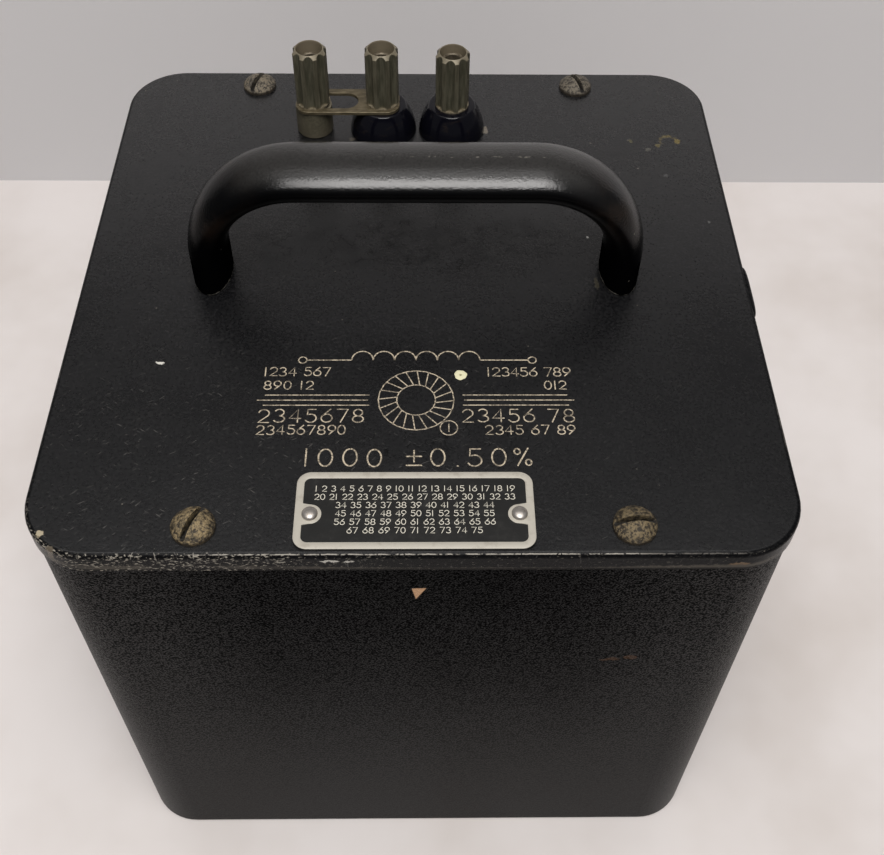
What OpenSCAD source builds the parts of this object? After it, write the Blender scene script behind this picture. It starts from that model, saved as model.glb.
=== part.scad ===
// Laboratory standard inductor: a potted toroid in a cast case, with a lid that
// carries a handle, a nameplate and three jack-top binding posts.
// Millimetres. Z is up, the floor is z = 0, and the front of the lid faces -Y.

/* [Case] */
// Height from the floor to the top face of the lid
body_h = 156; // [140:0.5:180]
// Inset of the case walls behind the edge of the lid
case_inset = 0.6; // [0.3:0.1:2]
// Thickness of the cast walls
case_wall = 3.6; // [2.5:0.1:6]
// Thickness of the cast floor
case_floor = 5; // [3:0.5:9]
// Radius of the edge round the floor
case_edge_r = 1.2; // [0.5:0.1:2.5]
// Diameter of the bosses that take the lid screws
boss_d = 12; // [9:0.5:15]

/* [Lid] */
// Width and depth of the square lid
lid_w = 165.1; // [152:0.1:185]
// Thickness of the lid
lid_t = 5.5; // [4.5:0.1:8]
// Radius of the upright corners of the lid
lid_r = 15; // [10:0.5:20]
// Radius of the edge round the top face
lid_edge_r = 1.2; // [0.5:0.1:2]
// Distance between the left and right lid screws
lid_screw_span = 92; // [70:0.5:110]
// Distance from the front and back edges to the lid screws
lid_screw_inset = 7; // [6:0.1:10]

/* [Handle] */
// Distance between the centres of the two feet
handle_span = 101; // [90:0.5:115]
// Height of the handle above the lid
handle_h = 36.4; // [32:0.1:46]
// Size of the oval section from front to back
handle_depth = 18.2; // [14:0.1:24]
// Size of the oval section across the bar
handle_thick = 9.6; // [8:0.1:13]
// Bend radius along the middle of the bar
handle_bend_r = 22.9; // [14:0.1:24]

/* [Nameplate] */
// Width of the plate
plate_w = 50.4; // [40:0.2:70]
// Depth of the plate
plate_d = 19.2; // [12:0.2:22]
// Thickness of the plate
plate_t = 0.8; // [0.4:0.1:1.5]
// Corner radius of the plate
plate_r = 3; // [1:0.1:5]
// Distance from the front edge of the lid to the middle of the plate
plate_inset = 10.8; // [10.5:0.1:18]
// Distance between the two drive pins
pin_span = 44; // [34:0.2:45]
// Diameter of a drive pin
pin_d = 2; // [1.5:0.1:2.6]
// Diameter of the round head of a drive pin
pin_head_d = 3.4; // [3:0.1:4.5]
// Height of the round head of a drive pin
pin_head_h = 1.1; // [0.8:0.1:1.5]
// Depth of a drive pin in the lid
pin_depth = 3; // [2:0.1:4]
// Distance of the drive pins in front of the middle of the plate
pin_ahead = 1.1; // [0:0.1:2.4]

/* [Binding posts] */
// Distance between neighbouring posts
post_pitch = 19.05; // [18.6:0.05:24]
// Distance from the back edge of the lid to the row of posts
post_inset = 26.25; // [22:0.05:34]
// Diameter of the stud of a post
stud_d = 6.35; // [6:0.05:6.6]
// Height of the stud above its base
stud_rise = 14.8; // [11:0.1:16.5]
// Diameter of the bore for a plug in the top of the stud
jack_d = 4.2; // [3.5:0.05:4.6]
// Depth of the bore for a plug
jack_depth = 14; // [9:0.5:18]
// Diameter of the shoulder of the stud
shoulder_d = 8; // [7.4:0.1:8.4]
// Thickness of the shoulder of the stud
shoulder_t = 1.2; // [0.8:0.1:2]
// Height of the bases under the posts
base_h = 8.4; // [6:0.1:12]
// Diameter at the bottom of an insulating cone
cone_bottom_d = 18.4; // [15:0.1:18.5]
// Diameter at the top of an insulating cone
cone_top_d = 12.6; // [11:0.1:15]
// Swell of the side of an insulating cone past a straight line
cone_belly = 0.6; // [0.1:0.1:1]
// Diameter of the spigot of an insulator in the lid
spigot_d = 10; // [9:0.1:13]
// Length of the spigot of a lower insulator in the lid
lower_spigot_l = 1.5; // [0.8:0.1:2]
// Diameter of the flange of a lower insulator
lower_flange_d = 16; // [14:0.1:18]
// Thickness of the flange of a lower insulator
lower_flange_t = 3.2; // [2:0.1:4.5]
// Diameter of the metal base of the ground post
ground_base_d = 10; // [9.4:0.1:14]
// Bevel at the ends of studs and the metal base
bevel = 0.4; // [0.2:0.05:0.5]

/* [Thumb nuts] */
// Outer diameter of a thumb nut and its washer
nut_d = 9.2; // [9:0.1:12]
// Height of a thumb nut
nut_h = 16.4; // [15:0.1:20]
// Bevel round the top of a thumb nut
nut_ease = 0.9; // [0.6:0.1:1]
// Width of the flat rim round the mouth of a thumb nut
nut_rim = 0.2; // [0.1:0.05:0.3]
// Depth of the plain mouth over the thread of a thumb nut
mouth_depth = 4.2; // [3:0.1:6]
// Number of flutes round a thumb nut
flute_count = 8; // [6:1:9]
// Radius of a flute
flute_r = 1.6; // [1.2:0.05:1.8]
// Depth of a flute
flute_depth = 0.75; // [0.5:0.05:1]
// Thickness of a clamp washer
washer_t = 0.4; // [0.3:0.1:1.4]

/* [Ground link] */
// Width of the strap
link_w = 10.6; // [9.5:0.1:14]
// Thickness of the strap
link_t = 1; // [0.8:0.1:2.4]
// Reach of the strap past the two posts
link_end = 4.6; // [4.4:0.1:6]
// Corner radius of the strap
link_r = 3.6; // [2:0.1:4.6]
// Distance between the ends of the slot on the ground post
link_slot_l = 9; // [4:0.1:9.5]

/* [Fasteners] */
// Diameter of the lid and handle screws
screw_d = 4.8; // [4:0.1:5.5]
// Length of a lid screw under its head
lid_screw_l = 18; // [12:0.5:26]
// Diameter of the head of a screw
head_d = 9.3; // [8.5:0.1:11]
// Height of the head of a screw
head_h = 3.3; // [2.8:0.1:4]
// Height of the straight side of the head
head_side_h = 0.9; // [0.4:0.1:1.4]
// Width of the slot in the head
slot_w = 1; // [0.8:0.1:1.8]
// Depth of the slot in the head
slot_depth = 2.1; // [1.2:0.1:2.2]
// Reach of a handle screw into the handle
handle_screw_reach = 10; // [7:0.5:14]
// Width across the flats of a hexagon nut on a stud
hex_w = 11.1; // [10:0.1:13]
// Thickness of a hexagon nut on a stud
hex_t = 4.8; // [3:0.1:6]
// Outer diameter of a lock washer
lock_d = 11; // [9.6:0.1:12]
// Thickness of a lock washer
lock_t = 1.3; // [0.8:0.1:2]
// Width of the split in a lock washer
lock_split = 0.8; // [0.4:0.1:1.5]
// Outer diameter of the ring of a solder lug
lug_d = 10.5; // [9.5:0.1:13]
// Thickness of a solder lug
lug_t = 0.8; // [0.5:0.1:1.2]
// Width of the tail of a solder lug
lug_tail_w = 4; // [3:0.1:6]
// Reach of the tail from the stud to the lead
lug_reach = 12; // [9:0.1:16]

/* [Inductor] */
// Free height between the lid and the potting compound
head_room = 19; // [16:0.5:24]
// Least thickness of the compound at the sides of the can
pot_side = 9; // [4:0.5:14]
// Thickness of the compound under the can
pot_under = 10; // [4:0.5:16]
// Thickness of the compound over the can
pot_over = 14; // [6:0.5:20]
// Wall thickness of the can and its cover
can_wall = 1.2; // [0.8:0.1:2]
// Thickness of the cork between the can and the winding
cork_side = 8; // [4:0.5:12]
// Radial width of the ceramic ring
core_w = 22; // [16:0.5:26]
// Height of the ceramic ring
core_h = 40; // [28:0.5:48]
// Edge radius of the ceramic ring
core_edge_r = 4; // [2:0.5:6]
// Thickness of the winding on the ring
wind_t = 3; // [2:0.1:4]
// Angle between the start and the end of the winding
wind_gap = 8; // [4:1:14]
// Diameter of a lead
lead_d = 1.8; // [1:0.1:2.4]

/* [Clearances] */
// Radial clearance of a nut on its stud and a screw in its thread
fit_gap = 0.05; // [0.02:0.01:0.1]
// Radial clearance round seated and sliding pieces
seat_gap = 0.2; // [0.1:0.05:0.3]

/* [Hidden] */
$fn = 48;
// Overlap of a cutting shape past the face that it cuts
cut = 1;
// Turns of the lid screw slots: front left, front right, back left, back right
slot_turns = [66, 4, 65, -65];
// Turns of the thumb nuts as they stand: ground, low, high
nut_turns = [0, 0, -9];
// Points round half of the oval section of the handle
oval_points = 20;
// Steps up the swelling side of an insulating cone
cone_steps = 8;

// Case and lid
case_w = lid_w - 2 * case_inset;
case_r = lid_r - case_inset;
case_h = body_h - lid_t;
inner_w = case_w - 2 * case_wall;
inner_r = case_r - case_wall;
lid_screw_y = lid_w / 2 - lid_screw_inset;
tap_d = screw_d + 2 * fit_gap;
clear_d = screw_d + 2 * seat_gap;

// Handle
bar_z = handle_h - handle_thick / 2;
leg_h = bar_z - handle_bend_r;
bend_x = handle_span / 2 - handle_bend_r;

// Nameplate
plate_y = plate_inset - lid_w / 2;
pin_y = plate_y - pin_ahead;

// Binding posts: the low and high posts stand either side of the middle
post_y = lid_w / 2 - post_inset;
ground_x = -1.5 * post_pitch;
low_x = -0.5 * post_pitch;
high_x = 0.5 * post_pitch;
base_top = body_h + base_h;
stud_hole_d = stud_d + 2 * seat_gap;
upper_spigot_l = lid_t - lower_spigot_l - seat_gap;
lug_z = case_h - lower_flange_t - lug_t;
stud_tail = bevel + lower_flange_t + lug_t + lock_t + hex_t;
stud_bottom = case_h - stud_tail;
link_top = base_top + link_t;

// Inductor
pot_top = case_h - head_room;
can_bottom = case_floor + pot_under;
can_top = pot_top - pot_over;
can_r = inner_w / 2 - pot_side;
bed_r = can_r - can_wall - seat_gap;
bed_bottom = can_bottom + can_wall;
bed_top = can_top - can_wall;
wind_z = (bed_bottom + bed_top) / 2;
wind_outer = bed_r - cork_side;
core_outer = wind_outer - wind_t;
core_inner = core_outer - core_w;
lead_y = post_y - lug_reach;
lead_bottom = wind_z + core_h / 2 + wind_t;
lead_hole_d = lead_d + 2 * seat_gap;

// Colours as the object shows them
enamel = "#1c1c1d";
crackle = "#151516";
tarnish = "#4a4536";
brass = "#8d7a52";
phenolic = "#0c0c10";
plating = "#6f6656";
steel = "#8a8d90";
copper = "#a4592f";

// Shapes that repeat

// Flat rectangle with round corners, centred
module round_rect(w, d, r) {
    square([w, d - 2 * r], center = true);
    square([w - 2 * r, d], center = true);
    for (sx = [-1, 1], sy = [-1, 1])
        translate([sx * (w / 2 - r), sy * (d / 2 - r)])
            intersection() {
                circle(r);
                translate([sx * r / 2, sy * r / 2]) square(r, center = true);
            }
}

// Strip of width r and height h whose outer top edge is rounded by f
module edge_profile(r, h, f) {
    difference() {
        square([r, h]);
        translate([r - f, h - f])
            difference() {
                square(f + cut);
                circle(f);
            }
    }
}

// Block with round upright corners and a rounded edge round its top face
module eased_block(w, h, r, f) {
    side = w - 2 * r;
    translate([-side / 2, -side / 2, 0]) cube([side, side, h]);
    for (turn = [0:90:270])
        rotate(turn) {
            translate([side / 2, side / 2, 0]) rotate_extrude(angle = 90) edge_profile(r, h, f);
            translate([side / 2, side / 2, 0])
                rotate([90, 0, 0]) linear_extrude(side) edge_profile(r, h, f);
        }
}

// Domed round head that stands on z = 0
module domed_head(d, h, side_h) {
    rise = h - side_h;
    dome_r = (d * d / 4 + rise * rise) / (2 * rise);
    rotate_extrude()
        intersection() {
            square([d / 2, h + cut]);
            translate([0, h - dome_r]) circle(dome_r);
        }
}

// Slotted screw whose head stands on z = 0 and whose shank runs down
module slotted_screw(l, turn) {
    difference() {
        domed_head(head_d, head_h, head_side_h);
        rotate(turn)
            translate([-head_d, -slot_w / 2, head_h - slot_depth])
                cube([2 * head_d, slot_w, slot_depth + cut]);
    }
    translate([0, 0, -l]) cylinder(d = screw_d, h = l);
}

// Flat ring that stands on z = 0
module ring(outer_d, bore_d, h) {
    difference() {
        cylinder(d = outer_d, h = h);
        translate([0, 0, -cut]) cylinder(d = bore_d, h = h + 2 * cut);
    }
}

// Place of a lid screw: front left, front right, back left, back right
function lid_screw_at(i) = [(i % 2 - 0.5) * lid_screw_span, (floor(i / 2) * 2 - 1) * lid_screw_y, 0];

module at_lid_screws() {
    for (i = [0:3])
        translate(lid_screw_at(i)) children();
}

// Inside outline of the case, drawn in by a gap
module cavity_outline(gap) {
    difference() {
        round_rect(inner_w - 2 * gap, inner_w - 2 * gap, inner_r - gap);
        at_lid_screws() circle(d = boss_d + 2 * gap);
    }
}

// Section of the toroid with rounded edges, grown by a thickness
module toroid_section(grow) {
    translate([core_outer - core_w / 2, 0])
        round_rect(core_w + 2 * grow, core_h + 2 * grow, core_edge_r + grow);
}

// Oval section of the handle, thickness along X and depth along Y
module handle_section() {
    polygon([for (i = [0:2 * oval_points - 1])
        let (a = 180 * i / oval_points)
            [handle_thick / 2 * cos(a), handle_depth / 2 * sin(a)]]);
}

// Case and inductor

module case() {
    color(crackle) {
        difference() {
            translate([0, 0, case_h]) mirror([0, 0, 1]) eased_block(case_w, case_h, case_r, case_edge_r);
            translate([0, 0, case_floor]) linear_extrude(case_h) cavity_outline(0);
            at_lid_screws()
                translate([0, 0, body_h - lid_screw_l - cut])
                    cylinder(d = tap_d, h = lid_screw_l + cut);
        }
    }
}

module potting_compound() {
    color("#3a2f26")
        difference() {
            translate([0, 0, case_floor]) linear_extrude(pot_top - case_floor) cavity_outline(seat_gap);
            translate([0, 0, can_bottom]) cylinder(r = can_r + seat_gap, h = can_top - can_bottom);
            for (x = [low_x, high_x])
                translate([x, lead_y, can_top - cut])
                    cylinder(d = lead_hole_d, h = pot_over + 2 * cut);
        }
}

module inner_can() {
    color(steel)
        translate([0, 0, can_bottom])
            difference() {
                cylinder(r = can_r, h = bed_top - can_bottom);
                translate([0, 0, can_wall]) cylinder(r = can_r - can_wall, h = can_top);
            }
}

module can_cover() {
    color(steel)
        difference() {
            translate([0, 0, bed_top]) cylinder(r = can_r, h = can_wall);
            for (x = [low_x, high_x])
                translate([x, lead_y, bed_top - cut]) cylinder(d = lead_hole_d, h = can_wall + 2 * cut);
        }
}

// Half of the cork bed: a disc with a ring-shaped seat for the wound toroid
module bed_half(bottom, top) {
    rotate_extrude()
        difference() {
            translate([0, bottom]) square([bed_r, top - bottom]);
            translate([0, wind_z]) toroid_section(wind_t + seat_gap);
        }
}

module cork_bed_lower() {
    color("#8c6a45") bed_half(bed_bottom, wind_z);
}

module cork_bed_upper() {
    color("#8c6a45")
        difference() {
            bed_half(wind_z, bed_top);
            for (x = [low_x, high_x])
                translate([x, lead_y, lead_bottom]) cylinder(d = lead_hole_d, h = bed_top);
        }
}

module toroid_core() {
    color("#d9d3c4") translate([0, 0, wind_z]) rotate_extrude() toroid_section(0);
}

module toroid_winding() {
    color(copper)
        translate([0, 0, wind_z])
            rotate(90 + wind_gap / 2)
                rotate_extrude(angle = 360 - wind_gap)
                    difference() {
                        toroid_section(wind_t);
                        toroid_section(seat_gap);
                    }
}

module lead(x) {
    color(copper)
        translate([x, lead_y, lead_bottom]) cylinder(d = lead_d, h = lug_z - lead_bottom);
}

module low_lead() {
    lead(low_x);
}

module high_lead() {
    lead(high_x);
}

// Lid and what is fixed to it

module top_panel() {
    color(enamel)
        difference() {
            translate([0, 0, case_h]) eased_block(lid_w, lid_t, lid_r, lid_edge_r);
            translate([0, 0, case_h - cut]) {
                at_lid_screws() cylinder(d = clear_d, h = lid_t + 2 * cut);
                for (s = [-1, 1])
                    translate([s * handle_span / 2, 0, 0]) cylinder(d = clear_d, h = lid_t + 2 * cut);
                for (x = [low_x, high_x])
                    translate([x, post_y, 0])
                        cylinder(d = spigot_d + 2 * seat_gap, h = lid_t + 2 * cut);
                translate([ground_x, post_y, 0]) cylinder(d = stud_hole_d, h = lid_t + 2 * cut);
            }
            for (s = [-1, 1])
                translate([s * pin_span / 2, pin_y, body_h - pin_depth])
                    cylinder(d = pin_d + 2 * fit_gap, h = pin_depth + cut);
        }
}

module lid_screws() {
    color(plating)
        for (i = [0:3])
            translate(lid_screw_at(i) + [0, 0, body_h]) slotted_screw(lid_screw_l, slot_turns[i]);
}

// Two straight legs, two quarter bends and the bar, all of one oval section
module handle() {
    color(enamel)
        translate([0, 0, body_h])
            difference() {
                union() {
                    for (m = [0, 1])
                        mirror([m, 0, 0]) {
                            translate([handle_span / 2, 0, 0]) linear_extrude(leg_h) handle_section();
                            translate([bend_x, 0, leg_h])
                                rotate([90, 0, 0])
                                    rotate_extrude(angle = 90)
                                        translate([handle_bend_r, 0]) handle_section();
                        }
                    translate([-bend_x, 0, bar_z])
                        rotate([0, 90, 0]) linear_extrude(2 * bend_x) handle_section();
                }
                for (s = [-1, 1])
                    translate([s * handle_span / 2, 0, -cut])
                        cylinder(d = tap_d, h = handle_screw_reach + 2 * cut);
            }
}

module handle_screws() {
    color(steel)
        for (s = [-1, 1])
            translate([s * handle_span / 2, 0, case_h])
                mirror([0, 0, 1]) slotted_screw(lid_t + handle_screw_reach, 0);
}

module nameplate() {
    color("#101010")
        translate([0, plate_y, body_h])
            difference() {
                linear_extrude(plate_t) round_rect(plate_w, plate_d, plate_r);
                for (s = [-1, 1])
                    translate([s * pin_span / 2, -pin_ahead, -cut])
                        cylinder(d = pin_d + 2 * fit_gap, h = plate_t + 2 * cut);
            }
}

module nameplate_pins() {
    color("#c9c6bd")
        for (s = [-1, 1])
            translate([s * pin_span / 2, pin_y, body_h + plate_t]) {
                domed_head(pin_head_d, pin_head_h, bevel);
                translate([0, 0, -plate_t - pin_depth]) cylinder(d = pin_d, h = plate_t + pin_depth);
            }
}

// Binding posts

// Threaded stud with a shoulder that seats in its base and a bore for a plug
module post_stud(x) {
    stud_r = stud_d / 2;
    shoulder_r = shoulder_d / 2;
    shoulder_z = base_top - shoulder_t;
    stud_top = base_top + stud_rise;
    color(brass)
        translate([x, post_y, 0])
            difference() {
                rotate_extrude()
                    polygon([
                        [0, stud_bottom], [stud_r - bevel, stud_bottom], [stud_r, stud_bottom + bevel],
                        [stud_r, shoulder_z], [shoulder_r, shoulder_z], [shoulder_r, base_top],
                        [stud_r, base_top], [stud_r, stud_top - bevel], [stud_r - bevel, stud_top],
                        [0, stud_top]
                    ]);
                translate([0, 0, stud_top - jack_depth]) cylinder(d = jack_d, h = jack_depth + cut);
            }
}

module ground_post_stud() {
    post_stud(ground_x);
}

module low_post_stud() {
    post_stud(low_x);
}

module high_post_stud() {
    post_stud(high_x);
}

// Room for the stud and its shoulder in a base that stands on z = 0
module stud_seat(below) {
    translate([0, 0, -below - cut]) cylinder(d = stud_hole_d, h = base_h + below + 2 * cut);
    translate([0, 0, base_h - shoulder_t]) cylinder(d = shoulder_d + 2 * fit_gap, h = shoulder_t + cut);
}

module ground_post_base() {
    base_r = ground_base_d / 2;
    color(tarnish)
        translate([ground_x, post_y, body_h])
            difference() {
                rotate_extrude()
                    polygon([
                        [0, 0], [base_r - bevel, 0], [base_r, bevel],
                        [base_r, base_h - bevel], [base_r - bevel, base_h], [0, base_h]
                    ]);
                stud_seat(0);
            }
}

module upper_insulator(x) {
    foot_r = cone_bottom_d / 2;
    fall = (cone_bottom_d - cone_top_d) / 2;
    color(phenolic)
        translate([x, post_y, body_h])
            difference() {
                union() {
                    rotate_extrude()
                        polygon([
                            [0, 0],
                            for (i = [0:cone_steps])
                                let (t = i / cone_steps)
                                    [foot_r - fall * t + 4 * cone_belly * t * (1 - t), base_h * t],
                            [0, base_h]
                        ]);
                    translate([0, 0, -upper_spigot_l]) cylinder(d = spigot_d, h = upper_spigot_l);
                }
                stud_seat(upper_spigot_l);
            }
}

module low_upper_insulator() {
    upper_insulator(low_x);
}

module high_upper_insulator() {
    upper_insulator(high_x);
}

module lower_insulator(x) {
    color(phenolic)
        translate([x, post_y, case_h]) {
            ring(spigot_d, stud_hole_d, lower_spigot_l);
            translate([0, 0, -lower_flange_t]) ring(lower_flange_d, stud_hole_d, lower_flange_t);
        }
}

module low_lower_insulator() {
    lower_insulator(low_x);
}

module high_lower_insulator() {
    lower_insulator(high_x);
}

module solder_lugs() {
    color("#b3a888")
        for (x = [low_x, high_x])
            translate([x, post_y, lug_z])
                difference() {
                    union() {
                        cylinder(d = lug_d, h = lug_t);
                        translate([-lug_tail_w / 2, -lug_reach - lug_tail_w / 2, 0])
                            cube([lug_tail_w, lug_reach + lug_tail_w / 2, lug_t]);
                    }
                    translate([0, 0, -cut]) cylinder(d = stud_hole_d, h = lug_t + 2 * cut);
                }
}

// Height of the underside of what the lock washer of a post bears on
function lock_seat(x) = x == ground_x ? case_h : lug_z;

module lock_washers() {
    color(steel)
        for (x = [ground_x, low_x, high_x])
            translate([x, post_y, lock_seat(x) - lock_t])
                difference() {
                    ring(lock_d, stud_hole_d, lock_t);
                    translate([0, -lock_split / 2, -cut]) cube([lock_d, lock_split, lock_t + 2 * cut]);
                }
}

module post_hex_nuts() {
    color(steel)
        for (x = [ground_x, low_x, high_x])
            translate([x, post_y, lock_seat(x) - lock_t - hex_t])
                difference() {
                    cylinder(d = hex_w / cos(30), h = hex_t, $fn = 6);
                    translate([0, 0, -cut]) cylinder(d = stud_d + 2 * fit_gap, h = hex_t + 2 * cut);
                }
}

// Underside of the clamp washer of a post: the link lies under two of them
function clamp_z(x) = x == high_x ? base_top : link_top;

module clamp_washer(x) {
    color(brass)
        translate([x, post_y, clamp_z(x)]) ring(nut_d, stud_hole_d, washer_t);
}

module ground_clamp_washer() {
    clamp_washer(ground_x);
}

module low_clamp_washer() {
    clamp_washer(low_x);
}

module high_clamp_washer() {
    clamp_washer(high_x);
}

// Fluted nut with a bevelled top and a plain mouth over its threaded bore
module thumb_nut(x, turn) {
    nut_r = nut_d / 2;
    bore_r = stud_d / 2 + fit_gap;
    mouth_r = nut_r - nut_ease - nut_rim;
    mouth_z = nut_h - mouth_depth;
    color(tarnish)
        translate([x, post_y, clamp_z(x) + washer_t])
            difference() {
                rotate_extrude()
                    polygon([
                        [bore_r, 0], [nut_r, 0], [nut_r, nut_h - nut_ease], [nut_r - nut_ease, nut_h],
                        [mouth_r, nut_h], [mouth_r, mouth_z], [bore_r, mouth_z]
                    ]);
                for (i = [0:flute_count - 1])
                    rotate(360 * i / flute_count - 90 + turn)
                        translate([nut_r + flute_r - flute_depth, 0, -cut])
                            cylinder(r = flute_r, h = nut_h + 2 * cut);
            }
}

module ground_thumb_nut() {
    thumb_nut(ground_x, nut_turns[0]);
}

module low_thumb_nut() {
    thumb_nut(low_x, nut_turns[1]);
}

module high_thumb_nut() {
    thumb_nut(high_x, nut_turns[2]);
}

// Strap with a closed slot on the ground stud. Its other end is a hook: the notch for the
// low stud opens to the back along an arc, so that the strap swings clear to the front.
module ground_link() {
    stud_way = stud_hole_d;
    deep = link_t + 2 * cut;
    notch_angle = asin(link_w / post_pitch);
    color(brass)
        translate([ground_x, post_y, base_top])
            difference() {
                translate([post_pitch / 2, 0, 0])
                    linear_extrude(link_t)
                        round_rect(post_pitch + 2 * link_end, link_w, link_r);
                translate([0, 0, -cut]) {
                    for (x = [0, link_slot_l, post_pitch])
                        translate([x, 0, 0]) cylinder(d = stud_way, h = deep);
                    translate([0, -stud_way / 2, 0]) cube([link_slot_l, stud_way, deep]);
                    rotate_extrude(angle = notch_angle)
                        translate([post_pitch - stud_way / 2, 0]) square([stud_way, deep]);
                }
            }
}

case();
potting_compound();
inner_can();
can_cover();
cork_bed_lower();
cork_bed_upper();
toroid_core();
toroid_winding();
low_lead();
high_lead();
top_panel();
lid_screws();
handle();
handle_screws();
nameplate();
nameplate_pins();
ground_post_stud();
low_post_stud();
high_post_stud();
ground_post_base();
low_upper_insulator();
high_upper_insulator();
low_lower_insulator();
high_lower_insulator();
solder_lugs();
lock_washers();
post_hex_nuts();
ground_clamp_washer();
low_clamp_washer();
high_clamp_washer();
ground_thumb_nut();
low_thumb_nut();
high_thumb_nut();
ground_link();
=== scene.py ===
"""Looks of a laboratory standard inductor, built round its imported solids.

Lengths are millimetres in the frame of the solids: Z up, the floor at 0, the front at -Y.
They become metres when a mesh or a node is made.
"""

import logging
from collections.abc import Callable, Sequence
from dataclasses import dataclass, field
from enum import Enum

import bmesh
import bpy
import numpy as np
from mathutils import Matrix


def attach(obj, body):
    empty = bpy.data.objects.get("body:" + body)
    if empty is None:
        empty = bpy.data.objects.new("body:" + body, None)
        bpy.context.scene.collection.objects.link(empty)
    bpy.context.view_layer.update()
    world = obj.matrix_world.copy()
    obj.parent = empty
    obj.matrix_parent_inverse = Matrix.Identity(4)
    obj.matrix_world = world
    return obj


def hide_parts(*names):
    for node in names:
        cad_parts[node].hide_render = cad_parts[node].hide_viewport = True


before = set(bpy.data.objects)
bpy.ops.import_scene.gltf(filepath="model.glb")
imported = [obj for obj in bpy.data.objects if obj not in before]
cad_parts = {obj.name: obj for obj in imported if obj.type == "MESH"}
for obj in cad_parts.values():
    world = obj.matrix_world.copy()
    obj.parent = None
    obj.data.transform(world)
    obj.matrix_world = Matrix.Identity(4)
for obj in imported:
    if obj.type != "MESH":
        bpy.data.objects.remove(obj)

LOG = logging.getLogger("inductor")

MM = 0.001
INCH = 25.4
MERGE = 0.002 * MM
NO_AREA = 0.001 * MM
SAME = 1e-6
SHARP_ANGLE = 38.0
ARC_STEP = 15.0
ARC_POINTS = 6

LID_TOP = 156.0
LID_UNDER = 150.5
HANDLE_SPAN = 101.0
HANDLE_LEG = 8.7
HANDLE_BEND = 22.9

Array = np.ndarray
Colour = tuple[float, float, float, float]
Point = tuple[float, float]
Place = tuple[float, float, float]
Radius = Callable[[Array, Array, Array], Array]
Socket = bpy.types.NodeSocket
Material = bpy.types.Material
Finishes = dict[str, Material]


class Body(Enum):
    """Bodies of the motion model that pieces ride on."""

    CASE = "body"
    LINK = "link"
    GROUND_NUT = "ground_nut"
    LOW_NUT = "low_nut"
    HIGH_NUT = "high_nut"


class Cell(Enum):
    """What a cell pattern measures: the distance to its seeds or to its borders."""

    SEED = "F1"
    BORDER = "DISTANCE_TO_EDGE"


def tone(red: float, green: float, blue: float) -> Colour:
    """Gives an opaque colour."""
    return (red, green, blue, 1.0)


# Meshes


@dataclass
class Patch:
    """Points in millimetres, the quads between them, and named values at the points."""

    points: Array
    quads: Array
    values: dict[str, Array] = field(default_factory=dict)


def grid_quads(rows: int, cols: int, wrap_rows: bool = False, wrap_cols: bool = False) -> Array:
    """Joins a grid of points into quads.

    Args:
        rows: Points along the first parameter.
        cols: Points along the second parameter.
        wrap_rows: Joins the last row to the first.
        wrap_cols: Joins the last column to the first.

    Returns:
        Point numbers, four to a quad.
    """
    first = np.arange(rows if wrap_rows else rows - 1)
    second = np.arange(cols if wrap_cols else cols - 1)
    row, col = np.meshgrid(first, second, indexing="ij")
    next_row = (row + 1) % rows * cols
    next_col = (col + 1) % cols
    corners = [row * cols + col, row * cols + next_col, next_row + next_col, next_row + col]
    return np.stack(corners, axis=-1).reshape(-1, 4)


def joined(patches: Sequence[Patch]) -> Patch:
    """Puts several patches into one, with their point numbers moved on.

    Args:
        patches: Patches that carry the same named values.

    Returns:
        One patch with all their points and quads.
    """
    starts = np.cumsum([0] + [len(patch.points) for patch in patches[:-1]])
    points = np.concatenate([patch.points for patch in patches])
    quads = np.concatenate([patch.quads + start for patch, start in zip(patches, starts)])
    values = {key: np.concatenate([patch.values[key] for patch in patches]) for key in patches[0].values}
    return Patch(points, quads, values)


def placed(name: str, data: bpy.types.ID) -> bpy.types.Object:
    """Adds an object with its data to the scene.

    Args:
        name: Name of the object.
        data: Its mesh, lamp or camera.

    Returns:
        The new object.
    """
    made = bpy.data.objects.new(name, data)
    bpy.context.scene.collection.objects.link(made)
    return made


def add_object(name: str, mesh: bpy.types.Mesh, material: Material, body: Body) -> bpy.types.Object:
    """Adds a mesh to the scene as a shaded object that rides on a body.

    Args:
        name: Name of the piece.
        mesh: Finished mesh, in metres.
        material: Finish of the piece.
        body: Body that the piece moves with.

    Returns:
        The new object.
    """
    mesh.shade_smooth()
    mesh.set_sharp_from_angle(angle=np.radians(SHARP_ANGLE))
    mesh.materials.clear()
    mesh.materials.append(material)
    piece = placed(name, mesh)
    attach(piece, body.value)
    LOG.info("%s rides on %s with %d faces", name, body.value, len(mesh.polygons))
    return piece


def close_seams(mesh: bpy.types.Mesh) -> None:
    """Merges points that coincide, drops faces with no area and turns faces outwards.

    Args:
        mesh: Mesh that is changed in place.
    """
    shell = bmesh.new()
    shell.from_mesh(mesh)
    bmesh.ops.remove_doubles(shell, verts=shell.verts, dist=MERGE)
    bmesh.ops.dissolve_degenerate(shell, edges=shell.edges, dist=NO_AREA)
    bmesh.ops.recalc_face_normals(shell, faces=shell.faces)
    shell.to_mesh(mesh)
    shell.free()


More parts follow.
